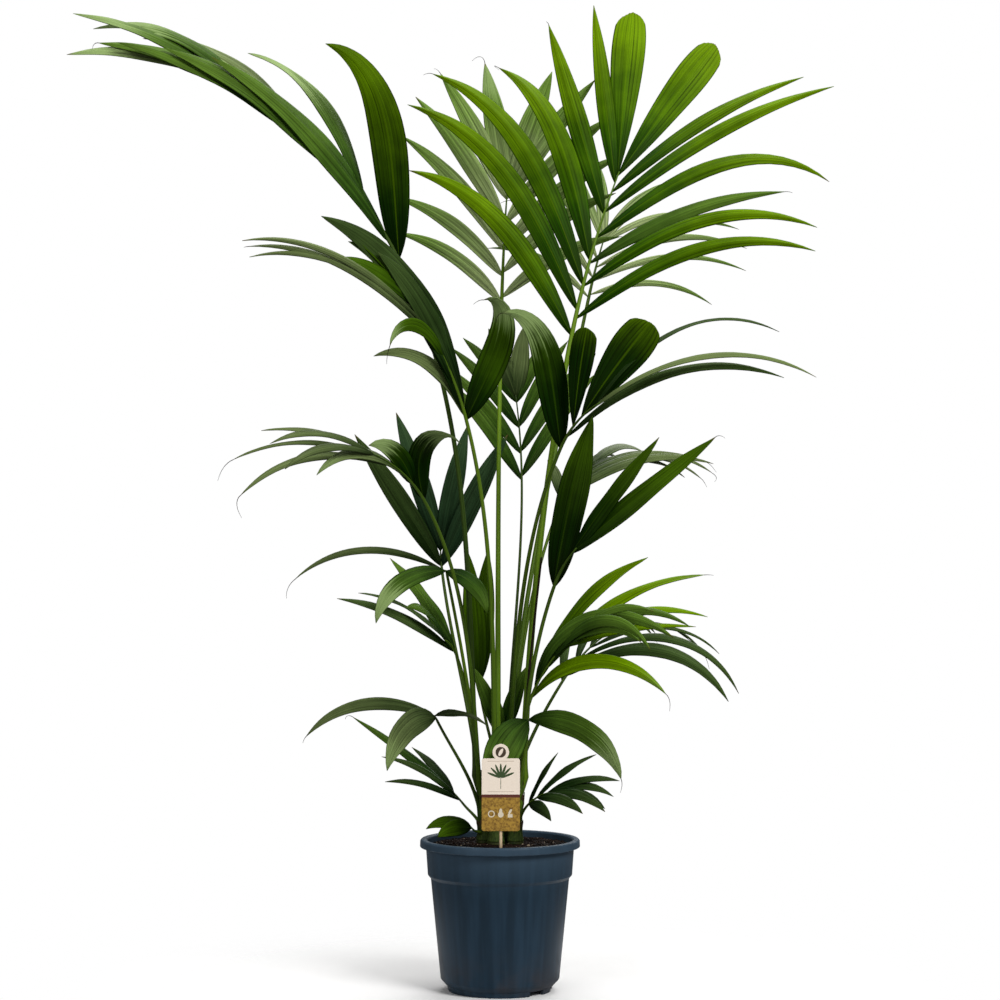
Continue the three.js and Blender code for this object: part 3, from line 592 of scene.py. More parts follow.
def frames_along(points):
    """Each point of a line, with two directions square to the line that don't twist."""
    frames = []
    side = Vector((1, 0.1, 0))
    for before, point, after in zip(points[:1] + points, points, points[1:] + points[-1:]):
        along = (after - before).normalized()
        side = (side - along * side.dot(along)).normalized()
        frames.append((point, side, along.cross(side)))
    return frames


def lay_limb(bm, points, radius_at, sides, **marks):
    """Rolls a grid up round a line. radius_at takes the share along it and the angle round it."""
    frames = frames_along(points)
    rings = len(points) - 1

    def place(turn, along):
        point, side, above = frames[round(along * rings)]
        angle = 2 * math.pi * turn
        radius = radius_at(along, angle)
        return point + (side * math.cos(angle) + above * math.sin(angle)) * radius

    made = lay_grid(bm, sides, rings, place, **marks)
    bmesh.ops.remove_doubles(bm, verts=made, dist=MERGED)
    left = [vert for vert in made if vert.is_valid]
    open_edges = [edge for vert in left for edge in vert.link_edges if edge.is_boundary]
    bmesh.ops.holes_fill(bm, edges=list(dict.fromkeys(open_edges)))


def limb_mesh(points, radius_at, sides, **marks):
    """A mesh of one limb."""
    bm = new_mesh()
    lay_limb(bm, points, radius_at, sides, **marks)
    bmesh.ops.recalc_face_normals(bm, faces=bm.faces)
    return bm


print("marks", MARKS)

# %% [markdown]
# ## The soil
# The root ball is filled with damp, dark compost up to 6 mm under the rim. Its surface is a spun
# disc that noise makes uneven, and loose crumbs lie on it, with a few pale grains of perlite
# among them.

# %% Measures and finish of the soil
SEAT = 0.3  # the gap left where two pieces rest on each other
SOIL_LEVEL, SOIL_EDGE = 192.0, 189.0
SOIL_FLAT, SOIL_RADIUS = 50.0, 94.0
SOIL_ROUGHNESS = 1.3
SOIL_RINGS = 46


def soil_height(reach):
    return lerp(SOIL_LEVEL, SOIL_EDGE, clamp((reach - SOIL_FLAT) / (SOIL_RADIUS - SOIL_FLAT)))


def soil_finish():
    """Near-black compost; a pale grain has a tint of one."""
    finish = Finish("compost")
    place = finish.place()
    clods = finish.grain(place, 60, 4.0, 0.6)
    grains = finish.grain(place, 420, 2.0, 0.7)
    dark = finish.mix(clods.between(0.35, 0.65), srgb(10, 5, 3), srgb(36, 22, 15))
    brown = finish.mix(grains.between(0.55, 0.8) * 0.5, dark, srgb(104, 74, 54))
    colour = finish.mix(finish.mark("tint").between(0.9, 0.98), brown, srgb(150, 134, 114))
    rough = 0.66 + 0.2 * grains
    relief = finish.bump(grains * 0.6 + clods * 0.4, 0.9)
    return finish.done(Base_Color=colour, Roughness=rough, Normal=relief, Specular_IOR_Level=0.1)


soil_material = soil_finish()
print("soil from", SOIL_EDGE, "up to", SOIL_LEVEL)


# %% Root ball
def root_ball():
    """The pot's inner profile, a little smaller, closed by a surface that noise makes uneven."""
    clear = WALL + SEAT
    side = clear + 0.2
    bm = new_mesh()
    spin_profile(bm, [
        (0, clear), (PAD_RADIUS - SEAT, clear),
        (PAD_RADIUS + PAD_SLOPE - SEAT, FOOT_TOP + clear), (FOOT_RADIUS - 1, FOOT_TOP + clear),
        (BODY_FOOT_RADIUS - side, BODY_FOOT + 0.5), (SHOULDER_RADIUS - side, SHOULDER + 0.5),
        (COLLAR_RADIUS - side, COLLAR_FOOT + 0.5),
        *[(SOIL_RADIUS * i / SOIL_RINGS, soil_height(SOIL_RADIUS * i / SOIL_RINGS))
            for i in range(SOIL_RINGS, -1, -1)],
    ])
    for vert in bm.verts:
        if vert.co.z > SOIL_EDGE - 0.5 and vert.co.xy.length < SOIL_RADIUS - 0.5:
            lump = noise.fractal(vert.co * 0.11, 1.0, 2.0, 4)
            vert.co.z += SOIL_ROUGHNESS * clamp(lump, -1.2, 0.9)
    return bm


soil = finish_piece("root_ball", root_ball(), [soil_material], replaces=["soil"])
print("soil faces", len(soil.data.polygons))

# %% Crumbs
CRUMBS = 4200
HANDFUL = 60
PERLITE = 0.035  # share of the crumbs that are pale


def crumb(bm, draw):
    reach = (SOIL_RADIUS - 1.5) * draw.random() ** 0.5
    around = draw.uniform(0, 2 * math.pi)
    size = draw.uniform(0.5, 1.0) + draw.random() ** 6 * 1.1
    height = soil_height(reach) + 0.2 * size
    centre = Matrix.Translation((reach * math.cos(around), reach * math.sin(around), height))
    turn = Quaternion([draw.gauss(0, 1) for _ in range(4)]).normalized().to_matrix().to_4x4()
    shape = Matrix.Diagonal([size * draw.uniform(0.7, 1.3) for _ in range(3)]).to_4x4()
    ball = bmesh.ops.create_icosphere(bm, subdivisions=1, radius=1.0, matrix=centre @ turn @ shape)
    mark(bm, ball["verts"], tint=1.0 if draw.random() < PERLITE else 0.0)


def crumbs(draw):
    """Crumbs are made a handful at a time, because a bmesh slows down as it fills."""
    heap = new_mesh()
    for _ in range(CRUMBS // HANDFUL):
        few = new_mesh()
        for _ in range(HANDFUL):
            crumb(few, draw)
        pour(few, heap)
    return heap


loose = finish_piece("soil_crumbs", crumbs(random.Random(5)), [soil_material], smooth=False)
print("crumb faces", len(loose.data.polygons))

# %% [markdown]
# ## The label
# A plant label is die-cut card, printed and glued to a round wooden stick. Its outline is a card
# with rounded corners and a round head. The outline is drawn once as a loop, filled, pulled out
# to the card's thickness and bevelled. Its print is generic: a fan of leaflets over a wine-red
# line, and three plain care marks on ochre.

# %% Measures of the label
CARD_WIDTH, CARD_BODY = 49.0, 93.0
CARD_HEAD, CARD_HEAD_RISE = 10.6, 8.0  # radius of the head, and its centre over the shoulders
CARD_CORNER, CARD_THICKNESS = 3.0, 1.0
CARD_BOTTOM = 218.5
CARD_PLACE = (1.0, -88.0)
STICK_RADIUS, STICK_TOP = 2.0, 296.0
print("label", CARD_WIDTH, "wide and", CARD_BODY + CARD_HEAD_RISE + CARD_HEAD, "high")


# %% Shapes to print with
def in_ellipse(x, z, centre, radii, turn=0.0):
    """Print that fills an ellipse, turned by degrees."""
    c, s = math.cos(math.radians(turn)), math.sin(math.radians(turn))
    dx, dz = x - centre[0], z - centre[1]
    along, across = (dx * c + dz * s) / radii[0], (dz * c - dx * s) / radii[1]
    return (along * along + across * across).between(1.12, 0.88)


def in_box(x, z, centre, halves):
    """Print that fills an upright box, told by its centre and half its sides."""
    past_x, past_z = abs(x - centre[0]) - halves[0], abs(z - centre[1]) - halves[1]
    return past_x.larger(past_z).between(0.12, -0.12)


# %% The print on the card
LINE_HEIGHT = 43.0  # of the wine-red line, over the card's foot
RULE_HEIGHTS = (50.5, 89.5)
FAN_HEIGHT = 68.0  # where the blades of the fan meet
FAN_STALK = 7.0  # half its length
FAN_TURNS = (22, 46, 68, 90, 112, 134, 158)
FAN_REACH = 9.5  # from where the blades meet to the middle of each
BADGE = (0, CARD_BODY + CARD_HEAD_RISE)
SIGN_HEIGHT, SIGN_STEP = 22.0, 12.0  # of the care marks, and from one to the next


def print_fan(x, z):
    fan = in_box(x, z, (0, FAN_HEIGHT - FAN_STALK), (0.35, FAN_STALK))
    for turn in FAN_TURNS:
        out, up = math.cos(math.radians(turn)), math.sin(math.radians(turn))
        middle = (FAN_REACH * out, FAN_HEIGHT + FAN_REACH * up)
        fan = fan.larger(in_ellipse(x, z, middle, (9.0, 1.5), turn))
    return fan


def print_badge(x, z):
    """A round seed with a blank eye."""
    seed = in_ellipse(x, z, BADGE, (6.8, 6.8))
    return seed - seed.smaller(in_ellipse(x, z, BADGE, (5.3, 2.1), 62))


def print_signs(x, z):
    """A sun, a drop, and a planter with one leaf."""
    sun_at, planter_x = (-SIGN_STEP, SIGN_HEIGHT), SIGN_STEP
    sun = in_ellipse(x, z, sun_at, (4.4, 4.4)) - in_ellipse(x, z, sun_at, (3.1, 3.1))
    drop = in_ellipse(x, z, (0, SIGN_HEIGHT - 1), (3.6, 3.6))
    drop = drop.larger(in_ellipse(x, z, (0, SIGN_HEIGHT + 2.4), (2.0, 4.6)))
    planter = in_box(x, z, (planter_x, SIGN_HEIGHT - 2.4), (3.0, 2.2))
    planter = planter.larger(in_ellipse(x, z, (planter_x, SIGN_HEIGHT + 3), (3.6, 1.5), 60))
    return sun.larger(drop).larger(planter)


def card_finish():
    """Paper over ochre, with its print, and plain on the edges and the back."""
    finish = Finish("label_card")
    place = finish.place()
    x, y, z = finish.split(place)
    x, y, z = x / MM - CARD_PLACE[0], y / MM, z / MM - CARD_BOTTOM
    fibre = finish.grain(place, 700, 3.0)
    mottle = finish.grain(place, 260, 5.0, 0.68)
    line = in_box(x, z, (0, LINE_HEIGHT + 1.9), (CARD_WIDTH, 2.0))
    low_rule, high_rule = [in_box(x, z, (0, height), (17, 0.3)) for height in RULE_HEIGHTS]
    paper = finish.mix(fibre, srgb(255, 242, 226), srgb(247, 230, 210))
    ochre = finish.mix(mottle.between(0.35, 0.62), srgb(117, 84, 20), srgb(176, 137, 48))
    colour = finish.mix(z.between(LINE_HEIGHT + 0.1, LINE_HEIGHT - 0.1), paper, ochre)
    colour = finish.mix(line, colour, srgb(91, 38, 28))
    colour = finish.mix(print_fan(x, z), colour, srgb(52, 74, 34))
    colour = finish.mix(low_rule.larger(high_rule) * 0.7, colour, srgb(150, 122, 98))
    colour = finish.mix(print_badge(x, z), colour, srgb(66, 52, 34))
    colour = finish.mix(print_signs(x, z) * 0.85, colour, srgb(232, 222, 200))
    back = CARD_PLACE[1]
    front = y.between(back - CARD_THICKNESS * 0.3, back - CARD_THICKNESS * 0.6)
    colour = finish.mix(front, srgb(214, 204, 190), colour)
    relief = finish.bump(fibre, 0.05)
    return finish.done(Base_Color=colour, Roughness=0.45 + 0.15 * mottle, Normal=relief)


card_material = card_finish()
print("print", card_material.name)


# %% Card
def arc(centre, radius, start, end, steps):
    """Points on an arc, in degrees from the right, anticlockwise."""
    turns = [math.radians(lerp(start, end, i / steps)) for i in range(steps + 1)]
    return [(centre[0] + radius * math.cos(a), centre[1] + radius * math.sin(a)) for a in turns]


def card():
    half, corner = CARD_WIDTH / 2 - CARD_CORNER, CARD_CORNER
    shoulder = math.degrees(math.asin(CARD_HEAD_RISE / CARD_HEAD))
    outline = [
        *arc((half, corner), corner, -90, 0, 6),
        *arc((half, CARD_BODY - corner), corner, 0, 90, 6),
        *arc(BADGE, CARD_HEAD, -shoulder, 180 + shoulder, 32),
        *arc((-half, CARD_BODY - corner), corner, 90, 180, 6),
        *arc((-half, corner), corner, 180, 270, 6),
    ]
    bm = bmesh.new()
    x0, y0 = CARD_PLACE
    verts = [bm.verts.new((x0 + x, y0, CARD_BOTTOM + z)) for x, z in outline]
    front = bm.faces.new(verts)
    pulled = bmesh.ops.extrude_face_region(bm, geom=[front], use_keep_orig=True)["geom"]
    moved = [item for item in pulled if isinstance(item, bmesh.types.BMVert)]
    bmesh.ops.translate(bm, verts=moved, vec=(0, -CARD_THICKNESS, 0))
    bmesh.ops.recalc_face_normals(bm, faces=bm.faces)
    soften_edges(bm, 60, 0.15)
    return bm


label = finish_piece(
    "label", card(), [card_material], replaces=["label_card"], smooth=False
)
print("card faces", len(label.data.polygons))


# %% Stick
def wood_finish():
    """Pale wood, drawn out along the stick and dark with damp where it enters the soil."""
    finish = Finish("pale_wood")
    x, y, z = finish.split(finish.place())
    grain = finish.grain(finish.join(x * 900, y * 900, z * 40), 1.0, 4.0, 0.6)
    wood = finish.mix(grain.between(0.35, 0.7), srgb(246, 222, 186), srgb(220, 186, 140))
    damp = z.between(0.206, 0.192)
    wood = finish.mix(damp * 0.6, wood, srgb(96, 68, 44))
    return finish.done(Base_Color=wood, Roughness=0.6, Normal=finish.bump(grain, 0.08))


def stick():
    middle = CARD_PLACE[1] + STICK_RADIUS + SEAT
    foot = soil_height(-middle) + 2 * SEAT
    bm = bmesh.new()
    place = Matrix.Translation((CARD_PLACE[0], middle, (STICK_TOP + foot) / 2))
    add_pin(bm, STICK_RADIUS, STICK_TOP - foot, 24, place)
    soften_edges(bm, 60, 0.3)
    return bm


rod = finish_piece("label_rod", stick(), [wood_finish()], replaces=["label_stick"])
print("stick faces", len(rod.data.polygons))

# %% [markdown]
# ## The rule the palm grows by
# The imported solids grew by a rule, and it is written again here so that the fine leaflets lie
# exactly where the plain ones do. A stem is a gentle curve. A stalk leaves it at a height of its
# own, rises to its collar and goes on as the rib of the frond. Leaflets set out from the rib at
# an angle, lifted a little above the frond's face, and turn to the ground. A small repeatable
# difference keeps any two leaflets from being alike.


# %% Curves
DIVISIONS = 200  # steps in which a curve's length is measured
UP = Vector((0, 0, 1))


class Curve:
    """A Bezier curve through any number of guide points."""

    def __init__(self, *guides):
        self.guides = [Vector(guide) for guide in guides]
        points = [self.point(i / DIVISIONS) for i in range(DIVISIONS + 1)]
        self.lengths = [0.0]
        for before, after in zip(points, points[1:]):
            self.lengths.append(self.lengths[-1] + (after - before).length)

    def reduced(self, at, left):
        points = self.guides
        while len(points) > left:
            points = [a.lerp(b, at) for a, b in zip(points, points[1:])]
        return points

    def point(self, at):
        return self.reduced(at, 1)[0]

    def tangent(self, at):
        first, second = self.reduced(at, 2)
        return (second - first).normalized()

    def even_point(self, share):
        """The point at a share of the curve's length."""
        target = share * self.lengths[-1]
        i = clamp(bisect_left(self.lengths, target), 1, DIVISIONS)
        step = (target - self.lengths[i - 1]) / (self.lengths[i] - self.lengths[i - 1])
        return self.point((i - 1 + step) / DIVISIONS)


def wobble(seed, index):
    """A repeatable small difference from -1 to 1."""
    value = math.sin(seed * 12.9898 + index * 78.233) * 43758.5453
    return 2 * (value - math.floor(value)) - 1


print("small differences", [round(wobble(1, index), 2) for index in range(4)])


# %% Stems, stalks and ribs
STEM_FLARE, STEM_RADIUS, STEM_TOP = 12.0, 8.5, 5.5  # radii: root flare, over it, at the top
FLARE_SHARE = 0.25  # share of a stem that flares
STEM_LEAVES = 0.92  # how far up its stem a stalk leaves it at most, as a share
STEMS = {
    "left": dict(foot=(-20, 6), top=(-29, 10), height=96),
    "middle": dict(foot=(-5, -14), top=(-3, -20), height=100),
    "back": dict(foot=(6, 14), top=(9, 22), height=108),
    "right": dict(foot=(20, -6), top=(27, -9), height=98),
}
COLLAR_SHARE = 0.62  # a stalk's radius at its collar, as a share of the one at its foot
APEX_RADIUS = 0.9


def stem_curve(stem):
    return Curve(
        (*stem["foot"], SOIL_LEVEL + SEAT),
        (*stem["foot"], SOIL_LEVEL + stem["height"] / 2),
        (*stem["top"], SOIL_LEVEL + stem["height"]),
    )


def stem_radius(along):
    flare = (STEM_FLARE - STEM_RADIUS) * max(0, 1 - along / FLARE_SHARE) ** 2
    return lerp(STEM_RADIUS, STEM_TOP, along) + flare


def spine(frond):
    """The stalk from the stem to the collar, and the rib on to the apex, as one smooth line."""
    stem = STEMS[frond["stem"]]
    share = clamp(frond["exit"] / stem["height"], 0, STEM_LEAVES)
    start = stem_curve(stem).even_point(share)
    collar, apex = Vector(frond["collar"]), Vector(frond["apex"])
    outward = collar - start
    outward.z = 0
    start = start + outward.normalized() * 0.8 * stem_radius(share)
    rise, run = collar - start, apex - collar
    along, onward = rise.normalized(), run.normalized()
    aim = (along + onward).normalized()
    ending = onward * (2 * onward.dot(aim)) - aim
    leave = (along * 0.6 + UP).normalized()
    third, run_third = rise.length / 3, run.length / 3
    stalk = Curve(start, start + leave * third, collar - aim * third, collar)
    rib = Curve(collar + aim * SEAT, collar + aim * run_third, apex - ending * run_third, apex)
    return stalk, rib


print("stem heights", {name: stem["height"] for name, stem in STEMS.items()})


# %% Leaflets
LEFT, RIGHT = -1, 1
LINE_STEPS = 20  # steps in which a leaflet's line is followed
TRIM = 0.996  # a leaflet's length here, as a share of the solid one's
ROW_START, ROW_END = {LEFT: 0.03, RIGHT: 0.07}, 0.91  # where a row begins and ends on its rib


def series(side, count, **shape):
    """A row of leaflets down one side of a rib."""
    return dict(side=side, count=count, **shape)


def lone(side, at, reach, droop, width, sweep=0, **shape):
    """One leaflet that stands in no row."""
    return series(
        side, 1, start=at, end=at, reach=(reach,) * 3, sweep=(sweep,) * 2, droop=(droop,) * 2,
        width=(width,) * 2, **shape,
    )


def pair(spread, lift=8, **shape):
    """The two leaflets at the end of a rib."""
    return [lone(side, 0.97, sweep=spread, lift=lift, **shape) for side in (LEFT, RIGHT)]


def heading(row, forward, face, sweep, lift):
    """The way a leaflet leaves the rib, from its sweep and lift, or from its own aim."""
    if "aim" in row:
        return Vector(row["aim"]).normalized()
    sweep, lift = math.radians(sweep), math.radians(lift)
    out = forward.cross(face) * (row["side"] * math.cos(lift)) + face * math.sin(lift)
    return out * math.sin(sweep) + forward * math.cos(sweep)


# %% The leaflets of a frond
def leaflets(frond, rib, seed):
    """Every leaflet of a frond: its root, its heading, the way its blade lies and its sizes."""
    made = []
    for rank, row in enumerate(frond["leaflets"]):
        start = row.get("start", ROW_START[row["side"]])
        end = row.get("end", ROW_END)
        for i in range(row["count"]):
            share = i / (row["count"] - 1) if row["count"] > 1 else 0
            key = 40 * rank + 4 * i
            near, middle, far = row["reach"]
            bow = 4 * share * (1 - share) * (middle - (near + far) / 2)
            at = lerp(start, end, share)
            forward = rib.tangent(at)
            face = Vector(frond["face"])
            face = (face - forward * face.dot(forward)).normalized()
            sweep = lerp(*row["sweep"], share) + 2.5 * wobble(seed, key)
            lift = row.get("lift", 4) + 4 * wobble(seed, key + 1)
            ahead = heading(row, forward, face, sweep, lift)
            made.append(dict(
                root=rib.point(at),
                ahead=ahead,
                edge=ahead.cross(Vector(row.get("facing", face))).normalized(),
                reach=(lerp(near, far, share) + bow) * (1 + 0.04 * wobble(seed, key + 2)) * TRIM,
                droop=lerp(*row["droop"], share) * (1 + 0.1 * wobble(seed, key + 3)),
                width=lerp(*row["width"], share),
                towards=Vector(row.get("towards", -UP)).normalized(),
                bend=row.get("bend", 1.3),
                blunt=row.get("blunt", False),
                rank=rank,
                key=(seed, key),
            ))
    return made


# %% A leaflet's line and breadth
def leaflet_line(leaflet):
    """The line of a leaflet: it sets out straight and turns steadily towards the ground."""
    ahead, towards = leaflet["ahead"], leaflet["towards"]
    axis = ahead.cross(towards).normalized()
    turn = min(math.radians(leaflet["droop"]), max(0, ahead.angle(towards) - 0.1))
    at = leaflet["root"].copy()
    line = []
    for i in range(LINE_STEPS + 1):
        turned = Quaternion(axis, turn * (i / LINE_STEPS) ** leaflet["bend"])
        along, across = turned @ ahead, turned @ leaflet["edge"]
        line.append((at.copy(), across, across.cross(along)))
        at += along * (leaflet["reach"] / LINE_STEPS)
    return line


def blade_width(along, blunt):
    """A blade's share of its full width, from its root at 0 to its point at 1."""
    base, point = (0.9, 0.28) if blunt else (0.7, 0.9)
    along, widest = clamp(along, 0.004, 0.999), base / (base + point)
    return (along / widest) ** base * ((1 - along) / (1 - widest)) ** point


broadest = max(range(101), key=lambda percent: blade_width(percent / 100, False))
print("a blade is broadest at", broadest, "percent of its length")

# %% [markdown]
# ## The fronds, told one by one
# Each frond names its stem, the height at which its stalk leaves it, the stalk's radius there,
# the collar where the leaflets begin, the apex of its rib, and the way its face looks. Left and
# right are those of a frond seen on its face with its apex up. A row of leaflets is told at the
# collar and at the apex: reach is their length (collar, middle, apex), sweep their angle to the
# rib, lift their angle above its face, droop how far they turn to the ground, and width their
# widest breadth.

